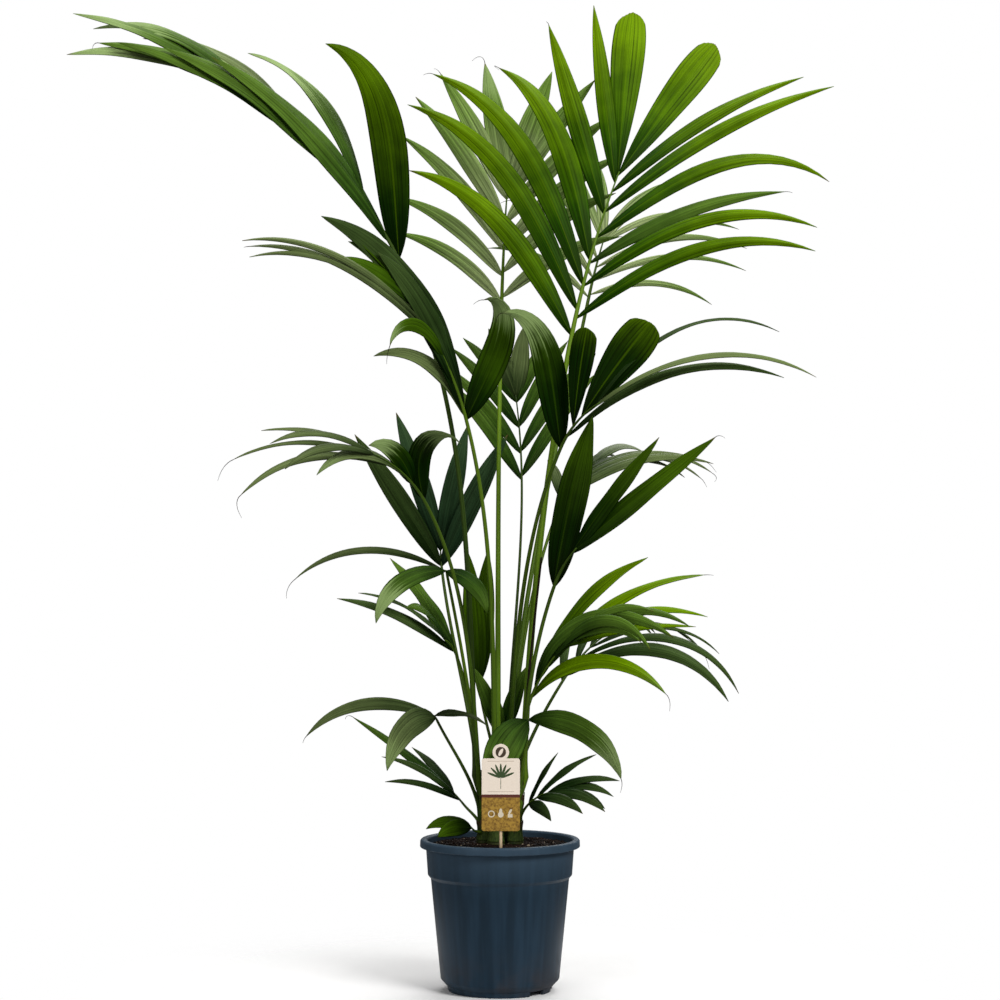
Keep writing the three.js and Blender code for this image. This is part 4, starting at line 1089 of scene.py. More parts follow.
# %% The fronds
FRONDS = {
    "tall_right": dict(
        stem="right", exit=88, girth=5.2, tone="fresh",
        collar=(92, 20, 847), apex=(160, 80, 1083), face=(0.05, -1, 0.3),
        leaflets=[
            series(LEFT, 4, start=0.05, end=0.47, reach=(335, 385, 340), sweep=(37, 27),
                droop=(56, 62), bend=2, width=(29, 33)),
            series(LEFT, 2, start=0.74, end=0.93, reach=(285, 270, 262), sweep=(31, 25),
                droop=(2, 0), width=(29, 24)),
            series(RIGHT, 2, start=0.14, end=0.32, reach=(345, 350, 353), sweep=(42, 40),
                droop=(54, 60), bend=1.6, width=(19, 19)),
            lone(RIGHT, 0.45, sweep=43, reach=280, droop=32, width=19),
            lone(RIGHT, 0.6, sweep=33, reach=357, droop=84, bend=2.2, width=21),
            series(RIGHT, 2, start=0.75, end=0.87, reach=(385, 351, 318), sweep=(32, 25),
                droop=(26, 25), width=(20, 19)),
            *pair(spread=15, lift=0, reach=258, droop=4, width=46, blunt=True),
        ],
    ),
    "tall_back": dict(
        stem="middle", exit=92, girth=4.2, tone="middle",
        collar=(2, 120, 905), apex=(10, 170, 1070), face=(0, -1, 0.2),
        leaflets=[
            series(LEFT, 5, reach=(185, 220, 218), sweep=(42, 25), droop=(44, 12), width=(20, 27)),
            series(RIGHT, 5, reach=(185, 220, 222), sweep=(42, 28), droop=(40, 12), width=(20, 27)),
            *pair(spread=12, reach=200, droop=4, width=33),
        ],
    ),
    "back_right": dict(
        stem="back", exit=98, girth=3.8, tone="middle",
        collar=(124, 260, 924), apex=(149, 320, 1017), face=(0.1, -0.9, 0.5),
        leaflets=[
            series(LEFT, 4, reach=(180, 200, 190), sweep=(50, 25), droop=(50, 20), width=(12, 13)),
            series(RIGHT, 5, reach=(190, 255, 220), sweep=(55, 30), droop=(55, 48), width=(11, 13)),
            *pair(spread=14, reach=160, droop=20, width=19),
        ],
    ),
    "arch_left": dict(
        stem="left", exit=88, girth=4.2, tone="middle",
        collar=(-128, -60, 947), apex=(-342, -150, 1170), face=(0.55, -0.6, 0.55),
        leaflets=[
            lone(LEFT, 0.02, aim=(-0.06, -0.2, 1), towards=(-1, -0.3, -0.1), bend=3.6,
                facing=(0.3, -1, 0.1), reach=300, droop=80, width=48),
            series(LEFT, 4, start=0.1, end=0.8, reach=(345, 310, 250), sweep=(5, 8), lift=12,
                droop=(34, 30), width=(42, 28)),
            lone(RIGHT, 0.28, sweep=28, lift=12, reach=290, droop=62, bend=1.6, width=34),
            lone(RIGHT, 0.6, sweep=12, lift=12, reach=262, droop=62, bend=1.6, width=28),
            lone(RIGHT, 0.88, sweep=16, lift=12, reach=225, droop=60, bend=1.6, width=24),
            *pair(spread=8, reach=225, droop=34, width=22),
        ],
    ),
    "reach_left": dict(
        stem="middle", exit=78, girth=3.8, tone="deep",
        collar=(-42, -90, 740), apex=(-110, -150, 890), face=(0.35, -0.7, 0.6),
        leaflets=[
            lone(LEFT, 0.05, aim=(-0.34, -0.2, 0.9), reach=170, droop=84, width=20),
            lone(LEFT, 0.08, aim=(-0.24, -0.2, 0.92), reach=345, droop=58, width=42),
            lone(LEFT, 0.5, aim=(-0.4, -0.5, 0.85), reach=140, droop=132, bend=1.6, width=19),
            series(LEFT, 3, start=0.64, end=0.88, reach=(342, 350, 312), sweep=(17, 24),
                droop=(50, 50), width=(11, 9)),
            lone(RIGHT, 0.03, aim=(0.43, -0.1, 0.9), towards=(-0.8, -0.3, -0.7), bend=4,
                facing=(0.2, -1, 0.3), reach=195, droop=165, width=38),
            series(RIGHT, 2, start=0.3, end=0.75, reach=(215, 180, 170), sweep=(2, 8),
                droop=(36, 50), width=(36, 28)),
            *pair(spread=10, reach=150, droop=44, width=22),
        ],
    ),
    "back_low": dict(
        stem="back", exit=86, girth=2.6, tone="middle",
        collar=(30, 190, 666), apex=(22, 250, 790), face=(0, -1, 0.25),
        leaflets=[
            series(LEFT, 4, reach=(200, 175, 135), sweep=(27, 25), droop=(20, 16), width=(20, 19)),
            series(RIGHT, 4, reach=(205, 175, 130), sweep=(29, 26), droop=(20, 16), width=(20, 19)),
            *pair(spread=12, reach=120, droop=8, width=27),
        ],
    ),
    "front_right": dict(
        stem="back", exit=74, girth=3.6, tone="deep",
        collar=(76, -110, 706), apex=(125, -170, 764), face=(-0.2, -0.75, 0.6),
        leaflets=[
            lone(LEFT, 0.03, aim=(-0.12, -0.1, 0.95), towards=(-0.9, -0.4, -0.6), bend=4,
                facing=(0.1, -1, 0.2), reach=208, droop=120, width=40),
            lone(LEFT, 0.4, aim=(0.1, -0.05, 0.95), facing=(0.1, -1, 0.2), reach=124, droop=6,
                width=32, blunt=True),
            lone(RIGHT, 0.6, aim=(0.54, 0, 0.82), facing=(-0.1, -1, 0.2), reach=148, droop=8,
                width=52, blunt=True),
            lone(RIGHT, 0.2, aim=(0.72, -0.15, 0.68), reach=318, droop=66, width=16),
            lone(RIGHT, 0.75, aim=(0.78, -0.1, 0.6), reach=300, droop=68, width=13),
            lone(RIGHT, 0.9, aim=(0.56, 0.25, 0.8), reach=304, droop=84, width=12),
        ],
    ),
    "fan_right": dict(
        stem="right", exit=70, girth=3.6, tone="deep",
        collar=(68, -120, 531), apex=(96, -160, 582), face=(-0.2, -0.9, 0.4),
        leaflets=[
            lone(LEFT, 0.02, aim=(0.17, -0.05, 0.95), reach=222, droop=6, width=47),
            lone(LEFT, 0.8, aim=(0.54, -0.1, 0.8), reach=188, droop=6, width=25),
            lone(RIGHT, 0.85, aim=(0.74, -0.15, 0.65), reach=228, droop=5, width=27),
        ],
    ),
    "side_right": dict(
        stem="back", exit=62, girth=3.2, tone="middle",
        collar=(84, 150, 640), apex=(128, 210, 692), face=(-0.1, -0.8, 0.6),
        leaflets=[
            series(LEFT, 3, reach=(90, 120, 130), sweep=(30, 14), droop=(40, 60), width=(16, 14)),
            series(RIGHT, 4, reach=(235, 240, 230), sweep=(30, 14), droop=(50, 54), width=(16, 14)),
            *pair(spread=12, reach=190, droop=50, width=18),
        ],
    ),
    "arch_low_left": dict(
        stem="left", exit=72, girth=3.4, tone="deep",
        collar=(-93, -140, 637), apex=(-158, -200, 700), face=(0.5, -0.5, 0.7),
        leaflets=[
            lone(RIGHT, 0.06, aim=(-0.26, -0.1, 0.95), towards=(0.5, -0.1, -0.86), bend=1.6,
                facing=(0.2, -1, 0.1), reach=142, droop=165, width=32),
            lone(RIGHT, 0.3, aim=(-0.32, -0.4, 0.85), towards=(-0.9, -0.4, -0.5), bend=2,
                facing=(0.3, -1, 0.3), reach=92, droop=120, width=26),
            lone(LEFT, 0.4, aim=(-0.64, -0.5, 0.66), reach=154, droop=96, width=19),
            lone(LEFT, 0.66, aim=(-0.85, -0.4, 0.28), reach=228, droop=72, width=14),
            lone(LEFT, 0.85, aim=(-0.9, -0.15, 0.34), reach=192, droop=52, width=11),
            lone(RIGHT, 0.8, aim=(-0.84, -0.15, 0.5), reach=168, droop=44, width=13),
            *pair(spread=9, reach=150, droop=58, width=13),
        ],
    ),
    "dark_left": dict(
        stem="left", exit=62, girth=3.2, tone="deep",
        collar=(-77, 70, 543), apex=(-80, 84, 578), face=(0, -0.9, 0.3),
        leaflets=[
            lone(LEFT, 0.3, aim=(-0.52, 0.04, 0.84), reach=206, droop=4, width=28),
            lone(RIGHT, 0.3, aim=(0.4, 0.02, 0.9), reach=196, droop=6, width=29),
            lone(LEFT, 0.2, aim=(-0.88, -0.1, 0.42), reach=212, droop=77, width=10),
            lone(LEFT, 0.9, aim=(-0.28, 0.1, 0.95), reach=190, droop=4, width=28),
            lone(RIGHT, 0.9, aim=(0.18, 0.1, 0.96), reach=168, droop=4, width=28),
        ],
    ),
    "hanging_left": dict(
        stem="left", exit=52, girth=3, tone="middle",
        collar=(-68, -60, 544), apex=(-70, -66, 552), face=(-0.2, -0.85, 0.5),
        leaflets=[
            lone(LEFT, 0.9, aim=(-0.86, -0.38, 0), facing=(0.1, -1, 0.6), reach=126, droop=84,
                width=26),
            lone(RIGHT, 0.9, aim=(0.72, -0.45, -0.16), facing=(0.2, -1, 0.6), reach=88, droop=72,
                width=24),
        ],
    ),
    "low_left": dict(
        stem="left", exit=44, girth=3, tone="middle",
        collar=(-57, -30, 441), apex=(-72, -56, 462), face=(0.2, -0.7, 0.6),
        leaflets=[
            lone(LEFT, 0.1, aim=(-0.77, -0.15, 0.62), reach=178, droop=36, width=15),
            lone(LEFT, 0.6, aim=(-0.62, 0, 0.7), reach=140, droop=44, width=15),
            lone(RIGHT, 0.1, aim=(-0.43, 0.1, 0.87), reach=152, droop=20, width=31),
            lone(RIGHT, 0.9, aim=(-0.3, -0.6, 0.7), reach=120, droop=60, width=18),
        ],
    ),
    "upright_pair": dict(
        stem="back", exit=50, girth=2.8, tone="deep",
        collar=(-27, 60, 389), apex=(-28, 62, 399), face=(0, -1, 0.1),
        leaflets=[
            lone(LEFT, 0.9, aim=(-0.07, -0.03, 1), reach=172, droop=2, width=30),
            lone(RIGHT, 0.9, aim=(0.06, 0.1, 1), reach=182, droop=2, width=30),
        ],
    ),
    "low_right_front": dict(
        stem="right", exit=54, girth=3.4, tone="fresh",
        collar=(38, -32, 378), apex=(86, -86, 458), face=(-0.4, -0.7, 0.7),
        leaflets=[
            lone(LEFT, 0.2, aim=(0.16, -0.35, 0.95), towards=(0.8, -0.3, -0.8), bend=1, reach=264,
                droop=124, width=23),
            lone(LEFT, 0.35, aim=(0.36, -0.05, 0.92), reach=218, droop=50, width=32),
            lone(LEFT, 0.7, aim=(0.45, -0.6, 0.7), reach=215, droop=90, width=17),
            lone(RIGHT, 0.06, aim=(0.53, -0.34, 0.8), bend=0.95, reach=230, droop=108, width=21),
            lone(RIGHT, 0.5, aim=(0.63, -0.05, 0.82), reach=258, droop=48, width=23),
            lone(RIGHT, 0.66, aim=(0.6, -0.32, 0.74), reach=226, droop=84, width=15),
            lone(RIGHT, 0.8, aim=(0.76, -0.15, 0.62), reach=216, droop=60, width=17),
            lone(RIGHT, 0.92, aim=(0.92, -0.2, 0.36), reach=178, droop=26, width=13),
            *pair(spread=9, reach=160, droop=58, width=14),
        ],
    ),
    "low_right_back": dict(
        stem="back", exit=40, girth=3.2, tone="middle",
        collar=(81, 60, 397), apex=(148, 130, 462), face=(-0.3, -0.6, 0.8),
        leaflets=[
            series(LEFT, 4, reach=(158, 177, 160), sweep=(26, 12), droop=(50, 60), width=(14, 13)),
            lone(RIGHT, 0.12, aim=(0.78, -0.45, 0.56), reach=272, droop=93, width=21),
            lone(RIGHT, 0.4, aim=(0.84, -0.25, 0.5), reach=258, droop=92, width=15),
            series(RIGHT, 2, start=0.6, reach=(205, 195, 185), sweep=(20, 12), droop=(74, 68),
                width=(12, 11)),
            *pair(spread=12, reach=150, droop=60, width=14),
        ],
    ),
    "bifid_right": dict(
        stem="right", exit=34, girth=2.8, tone="middle",
        collar=(36, -44, 350), apex=(37, -46, 358), face=(0.1, -0.85, 0.5),
        leaflets=[
            lone(RIGHT, 0.9, aim=(0.93, -0.25, 0.11), bend=1.1, reach=158, droop=84, width=34),
            lone(LEFT, 0.9, aim=(-0.31, -0.26, -0.18), facing=(0, -1, 0.3), bend=0.8, reach=122,
                droop=66, width=47),
        ],
    ),
    "bifid_left": dict(
        stem="left", exit=34, girth=2.8, tone="deep",
        collar=(-81, -50, 356), apex=(-85, -56, 364), face=(-0.1, -0.8, 0.6),
        leaflets=[
            lone(LEFT, 0.5, aim=(-0.42, -0.6, 0.14), bend=1, facing=(0.2, -1, 0.3), reach=128,
                droop=92, width=36),
            lone(LEFT, 0.9, aim=(-0.9, 0.15, 0.34), reach=186, droop=72, width=17),
            lone(RIGHT, 0.9, aim=(0.85, -0.4, 0.25), reach=84, droop=60, width=20),
        ],
    ),
    "sprout_left": dict(
        stem="left", exit=20, girth=2.6, tone="deep",
        collar=(-48, 26, 240), apex=(-62, 30, 256), face=(0.2, -0.7, 0.7),
        leaflets=[
            lone(RIGHT, 0.6, aim=(-0.76, 0.15, 0.66), reach=178, droop=12, width=14),
            lone(LEFT, 0.3, aim=(-0.8, -0.3, 0.5), reach=112, droop=34, width=10),
            lone(LEFT, 0.7, aim=(-0.7, -0.1, 0.66), reach=116, droop=34, width=10),
            lone(RIGHT, 0.9, aim=(-0.5, 0.4, 0.7), reach=96, droop=26, width=14),
        ],
    ),
    "sprout_right": dict(
        stem="right", exit=18, girth=2.6, tone="deep",
        collar=(36, -36, 246), apex=(63, -52, 264), face=(-0.3, -0.6, 0.8),
        leaflets=[
            series(LEFT, 3, reach=(78, 98, 98), sweep=(36, 12), droop=(20, 46), width=(16, 15)),
            series(RIGHT, 3, reach=(86, 98, 98), sweep=(44, 14), droop=(34, 52), width=(16, 15)),
            *pair(spread=10, reach=92, droop=56, width=15),
        ],
    ),
    "seedling": dict(
        stem="left", exit=10, girth=2.2, tone="deep",
        collar=(-35, -18, 212), apex=(-38, -20, 216), face=(-0.1, -0.7, 0.7),
        leaflets=[
            lone(LEFT, 0.6, aim=(-0.83, -0.48, 0.2), reach=54, droop=52, width=22),
            lone(RIGHT, 0.6, aim=(-0.92, 0.1, 0.42), reach=66, droop=60, width=18),
        ],
    ),
    "inner": dict(
        stem="middle", exit=26, girth=2.2, tone="middle",
        collar=(2, 16, 322), apex=(3, 18, 334), face=(0, -1, 0.2),
        leaflets=[
            lone(LEFT, 0.5, aim=(-0.3, -0.02, 0.94), facing=(0.1, -1, 0.2), reach=106, droop=10,
                width=21),
            lone(RIGHT, 0.5, aim=(0.27, 0.12, 0.96), facing=(-0.1, -1, 0.2), reach=98, droop=8,
                width=22),
            lone(LEFT, 0.9, aim=(-0.12, -0.24, 0.95), facing=(0.1, -1, 0.2), reach=58, droop=8,
                width=13),
        ],
    ),
}
DEAD_STALK = dict(stem="right", exit=80, girth=2.2, collar=(54, -30, 568), apex=(57, -31, 590))
print("fronds", len(FRONDS))

# %% [markdown]
# ## Stems
# Under the lowest stalk a kentia's stem is wrapped in the bases of its leaves. Each base is a
# sleeve that ends in a step, and it dries to a brown net of fibres that tears off. The stem is
# one limb with those steps in it, and the torn sleeves are thin sheets wrapped round it.


# %% Finishes of stems and sleeves
def stem_finish():
    finish = Finish("stem_green")
    place = finish.place()
    around, along = finish.sheet()
    fibres = finish.streaks(around * 26, along * 2.2, 4.0, 0.62)
    patches = finish.grain(place, 55, 4.0, 0.6)
    green = finish.mix(patches.between(0.35, 0.65), srgb(28, 46, 12), srgb(62, 88, 22))
    green = finish.mix(fibres.between(0.5, 0.8) * 0.4, green, srgb(92, 104, 40))
    brown = along.between(0.22, 0.0) * patches.between(0.3, 0.6)
    colour = finish.mix(brown * 0.7, green, srgb(52, 38, 20))
    relief = finish.bump(fibres, 0.5)
    return finish.done(
        Base_Color=colour, Roughness=0.5 + 0.2 * fibres, Normal=relief, Specular_IOR_Level=0.2
    )


def sleeve_finish():
    finish = Finish("dry_sleeve")
    around, along = finish.sheet()
    fibres = finish.streaks(around * 60, along * 4, 4.0, 0.65)
    weave = finish.streaks(around * 20 + along * 14, along * 30, 3.0, 0.6)
    green = finish.mix(fibres.between(0.35, 0.65), srgb(30, 46, 14), srgb(70, 88, 30))
    brown = finish.mix(weave.between(0.4, 0.7), srgb(44, 32, 18), srgb(98, 78, 48))
    colour = finish.mix(along.between(0.55, 0.95), green, brown)
    relief = finish.bump(fibres * 0.7 + weave * 0.3, 0.6)
    return finish.done(Base_Color=colour, Roughness=0.75, Normal=relief, Specular_IOR_Level=0.2)


stem_material, sleeve_material = stem_finish(), sleeve_finish()
print("finishes", stem_material.name, sleeve_material.name)


# %% Stems and sleeves
STEM_STEPS = (0.16, 0.37, 0.6, 0.8)  # where the old leaf bases end, as a share of the stem
STEP_SHARE, STEP_HEIGHT = 0.16, 0.8  # how long a leaf base swells, and by how much
STEM_ROUNDING = 0.94  # share from which the stem is rounded off
STEM_RINGS, STEM_SIDES = 60, 44
SLEEVES = ((0.04, 0.3, 0.3), (0.3, 0.62, 3.6))  # from, to, and the way the gap faces, in radians
SLEEVE_ROWS = 14


def stem_relief(along, angle):
    """The steps that the leaf bases leave, and the ribs down them."""
    above = next((step for step in STEM_STEPS if step >= along), 1.0)
    sleeve = clamp(1 - (above - along) / STEP_SHARE) * STEP_HEIGHT
    return sleeve + 0.22 * math.cos(11 * angle)


def stem_mesh(stem):
    curve = stem_curve(stem)
    points = [curve.even_point(i / STEM_RINGS) for i in range(STEM_RINGS + 1)]

    def radius_at(along, angle):
        ending = max(0, along - STEM_ROUNDING) / 0.062
        tip = math.sqrt(clamp(1 - ending**2))
        return (stem_radius(along) - 0.5 + stem_relief(along, angle)) * tip

    return limb_mesh(points, radius_at, STEM_SIDES)


def sleeve_mesh(stem, draw):
    """Open tubes round a stem, each with a gap, and torn along the top."""
    curve = stem_curve(stem)
    bm = new_mesh()
    for low, high, gap in SLEEVES:
        shift = draw.uniform(0, 50)

        def place(turn, along):
            torn = 0.16 * noise.fractal(Vector((turn * 9 + shift, 0, 0)), 1.0, 2.0, 4)
            share = clamp(lerp(low, high + torn, along), 0, 0.97)
            angle = gap + (0.1 + 0.8 * turn) * 2 * math.pi
            lift = 0.9 + 1.8 * along**3 + 1.4 * abs(turn - 0.5) ** 3
            radius = stem_radius(share) + lift
            return curve.even_point(share) + Vector((math.cos(angle), math.sin(angle), 0)) * radius

        lay_grid(bm, STEM_SIDES, SLEEVE_ROWS, place)
    return bm


print("leaf bases end at", STEM_STEPS)


# %% The stems put together
for rank, (name, stem) in enumerate(STEMS.items()):
    trunk = stem_mesh(stem)
    finish_piece(f"stem_trunk_{name}", trunk, [stem_material], replaces=[f"stem_{name}"])
    sleeves = sleeve_mesh(stem, random.Random(rank))
    finish_piece(f"sleeve_{name}", sleeves, [sleeve_material], thickness=0.5)
print("stems", len(STEMS), "with", len(SLEEVES), "sleeves each")

# %% [markdown]
# ## Stalks and ribs
# On the real frond the stalk doesn't end at the first leaflet: it runs on as the rib. So both are
# one limb here. Its heel narrows down the stem, it clasps the stem where it leaves it, tapers all
# the way, and is finely ribbed lengthwise.


# %% Finish of a stalk
def stalk_finish():
    """A tint of nought is a dark stalk, and of one a bright one."""
    finish = Finish("stalk_green")
    place = finish.place()
    around, along = finish.sheet()
    tint = finish.mark("tint")
    streaks = finish.streaks(around * 14, along * 2.5, 4.0, 0.6)
    freckles = finish.grain(place, 160, 3.0, 0.6)
    dark = finish.mix(streaks.between(0.3, 0.7), srgb(24, 42, 10), srgb(50, 72, 20))
    bright = finish.mix(streaks.between(0.3, 0.7), srgb(70, 104, 6), srgb(118, 152, 26))
    green = finish.mix(tint, dark, bright)
    foot = along.between(0.16, 0.0)
    green = finish.mix(foot * 0.4, green, srgb(62, 78, 18))
    green = finish.mix(freckles.between(0.62, 0.78) * 0.25, green, srgb(74, 58, 30))
    relief = finish.bump(streaks, 0.25)
    return finish.done(
        Base_Color=green, Roughness=0.4 + 0.2 * streaks, Normal=relief, Specular_IOR_Level=0.16
    )


def dry_finish():
    finish = Finish("dry_stalk")
    place = finish.place()
    around, along = finish.sheet()
    streaks = finish.streaks(around * 12, along * 6, 4.0, 0.65)
    colour = finish.mix(streaks.between(0.3, 0.7), srgb(14, 10, 8), srgb(48, 36, 26))
    rough = 0.75 + 0.15 * finish.grain(place, 90)
    relief = finish.bump(streaks, 0.5)
    return finish.done(Base_Color=colour, Roughness=rough, Normal=relief, Specular_IOR_Level=0.1)


stalk_material, dry_material = stalk_finish(), dry_finish()
print("finishes", stalk_material.name, dry_material.name)


# %% Stalks and ribs in one
STALK_SIDES = 14
STALK_TINTS = {"fresh": 0.6, "middle": 0.45, "deep": 0.3}
ODD_STALKS = {  # stalks that are lighter or darker than their frond's tone
    "tall_right": 0.8, "tall_back": 0.85, "arch_left": 0.1, "back_low": 0.12, "reach_left": 0.5,
    "bifid_left": 0.1, "low_right_back": 0.2,
}
CLASP = 0.05  # share of the stalk that clasps the stem
HEEL, HEEL_STEPS = 40.0, 8  # how far its base narrows down the stem, and in how many steps
HEEL_GIRTH = 0.3  # the heel's radius at its end, as a share of the stalk's
TAPER = 0.7
FOOT_STEPS, STALK_STEP, RIB_STEP = 14, 14, 9  # more steps for its foot, and how long a step is


def stalk_mesh(frond, stalk, rib, tint):
    """The heel on the stem, the stalk, and where there is one the rib, as one tapering limb."""
    stem, girth = STEMS[frond["stem"]], frond["girth"]
    sunk = stem_curve(stem).even_point(clamp((frond["exit"] - HEEL) / stem["height"]))
    shares = [i / HEEL_STEPS for i in range(HEEL_STEPS)]
    points = [sunk.lerp(stalk.guides[0], share) for share in shares]
    radii = [girth * lerp(HEEL_GIRTH, 1, share**TAPER) for share in shares]
    steps = FOOT_STEPS + round(stalk.lengths[-1] / STALK_STEP)
    shares = [i / steps for i in range(steps + 1)]
    points += [stalk.even_point(share) for share in shares]
    radii += [girth * lerp(1, COLLAR_SHARE, share**TAPER) for share in shares]
    rib_steps = max(3, round(rib.lengths[-1] / RIB_STEP)) if rib else 0
    shares = [i / rib_steps for i in range(1, rib_steps + 1)]
    points += [rib.even_point(share) for share in shares]
    radii += [lerp(girth * COLLAR_SHARE, APEX_RADIUS, share) for share in shares]
    last = len(points) - 1

    def radius_at(along, angle):
        clasp = 0.45 * clamp(1 - (along * last - HEEL_STEPS) / steps / CLASP) ** 2
        groove = 0.035 * math.cos(3 * angle) + 0.02 * math.cos(7 * angle)
        return radii[round(along * last)] * (1 + clasp + groove)

    return limb_mesh(points, radius_at, STALK_SIDES, tint=tint)


print("stalk tints", STALK_TINTS)


# %% The stalks put together
SPINES = {name: spine(frond) for name, frond in FRONDS.items()}
for name, frond in FRONDS.items():
    tint = ODD_STALKS.get(name, STALK_TINTS[frond["tone"]])
    mesh = stalk_mesh(frond, *SPINES[name], tint)
    finish_piece(f"spine_{name}", mesh, [stalk_material], replaces=[f"stalk_{name}"])
dead = stalk_mesh(DEAD_STALK, spine(DEAD_STALK)[0], None, 0.5)
finish_piece("withered_stalk", dead, [dry_material], replaces=["dead_stalk"])
print("stalks", len(FRONDS) + 1)

# %% [markdown]
# ## Leaflets
# A kentia leaflet is folded like a tent along its rib and pleated lengthwise, thin but stiff. It
# is laid as a grid: across it every second column stands a little higher, which makes the pleats,
# and the whole blade falls from its middle to its edges. Then it gets its thickness, and its
# underside is paler.


# %% Finish of a blade
def linear(red, green, blue):
    return (red, green, blue, 1.0)


FADED = linear(0.24, 0.34, 0.12)
DRY_TIP = srgb(92, 72, 36)
SHEEN = linear(0.8, 1.0, 0.35)


def leaf_finish(name, root, tip, shade=0.55, gloss=0.36, stripes=2.0):
    """Green that changes from root to tip, with a pale rib, dark veins and a thin dark edge. The
    light and shade that fall on a row, and the shade at the root, are painted into the green.
    """
    finish = Finish(name)
    place = finish.place()
    across, along = finish.sheet()
    tint, age, ribs, fade = [finish.mark(told) for told in MARKS]
    root, tip, brown = linear(*root), linear(*tip), linear(*[0.5 * c for c in root])
    off_rib = abs(across - 0.5) * 2
    veins = finish.streaks(across * (5 * ribs) + tint * 9, along * 1.1, 3.0, 0.6)
    clouds = finish.grain(place, 16, 3.0, 0.55)
    lines = (off_rib * ribs * (2 * math.pi)).cosine().between(0.6, 1.0)
    own, cloudy, veined = 0.2 * (tint - 0.5), clouds - 0.5, veins - 0.5
    # painted light and shade: a row painted lighter is lighter and nearer its tip's green all over
    reach = (along + 0.9 * (age - 0.5) + own + 0.5 * cloudy).between(0.0, 0.9)
    green = finish.mix(reach, root, tip)
    light = 0.66 + 0.44 * age + 0.5 * cloudy + own + stripes * veined - 0.24 * lines
    # painted shade: darker towards the root
    green = finish.shade(green, light * (1 - shade + shade * along.between(0.0, 0.3)))
    faded = (along + 0.7 * veined + 0.3 * cloudy + 0.3 * fade).between(0.9, 1.15)
    green = finish.mix(faded * fade.smaller(1.0), green, FADED)
    pale = finish.shade(finish.mix(0.7, root, tip), 1.25)
    green = finish.mix(off_rib.between(0.08, 0.02) * 0.3, green, pale)
    green = finish.mix(off_rib.between(0.9, 1.0) * 0.7, green, brown)
    dry = along.between(0.95, 1.0) * tint.between(0.4, 0.6)
    green = finish.mix(dry * 0.8, green, DRY_TIP)
    relief = finish.bump(veins * 0.6 - lines * 0.4, 0.35)
    return finish.done(
        Base_Color=green, Roughness=gloss + 0.2 * clouds, Normal=relief, Specular_IOR_Level=0.06,
        Specular_Tint=SHEEN,
    )


# %% The greens of the leaflets
GREENS = {
    # colour at root and tip, and where they differ: painted shade at the root, gloss, stripes
    # fresh is partly painted light, the glow of fronds lit from behind; deep is partly painted
    # shade
    "fresh": ((0.015, 0.066, 0.0002), (0.14, 0.26, 0.0002)),
    "middle": ((0.014, 0.05, 0.004), (0.09, 0.172, 0.018)),
    "deep": ((0.003, 0.019, 0.0002), (0.05, 0.112, 0.002)),
    "bold": ((0.003, 0.02, 0.0002), (0.11, 0.22, 0.0002)),
    # pale is painted light: leaves lit through from behind, pale, strongly streaked and hardly
    # shaded
    "pale": ((0.38, 0.47, 0.2), (0.125, 0.225, 0.032), 0.1, 0.4, 3.4),
    "olive": ((0.008, 0.026, 0.004), (0.048, 0.085, 0.02)),
    "bluish": ((0.008, 0.028, 0.012), (0.038, 0.082, 0.032)),
    "greyed": ((0.03, 0.054, 0.014), (0.13, 0.175, 0.06), 0.4),
    # the grey-green below is painted sheen: the pale shine on upper faces that bend over
    "under": ((0.05, 0.1, 0.015), (0.17, 0.26, 0.08), 0.3, 0.5),
}
LEAF_FINISHES = {name: leaf_finish(f"leaf_{name}", *told) for name, told in GREENS.items()}
MIDDLING = 0.5  # the painted light of a leaflet where nothing is told
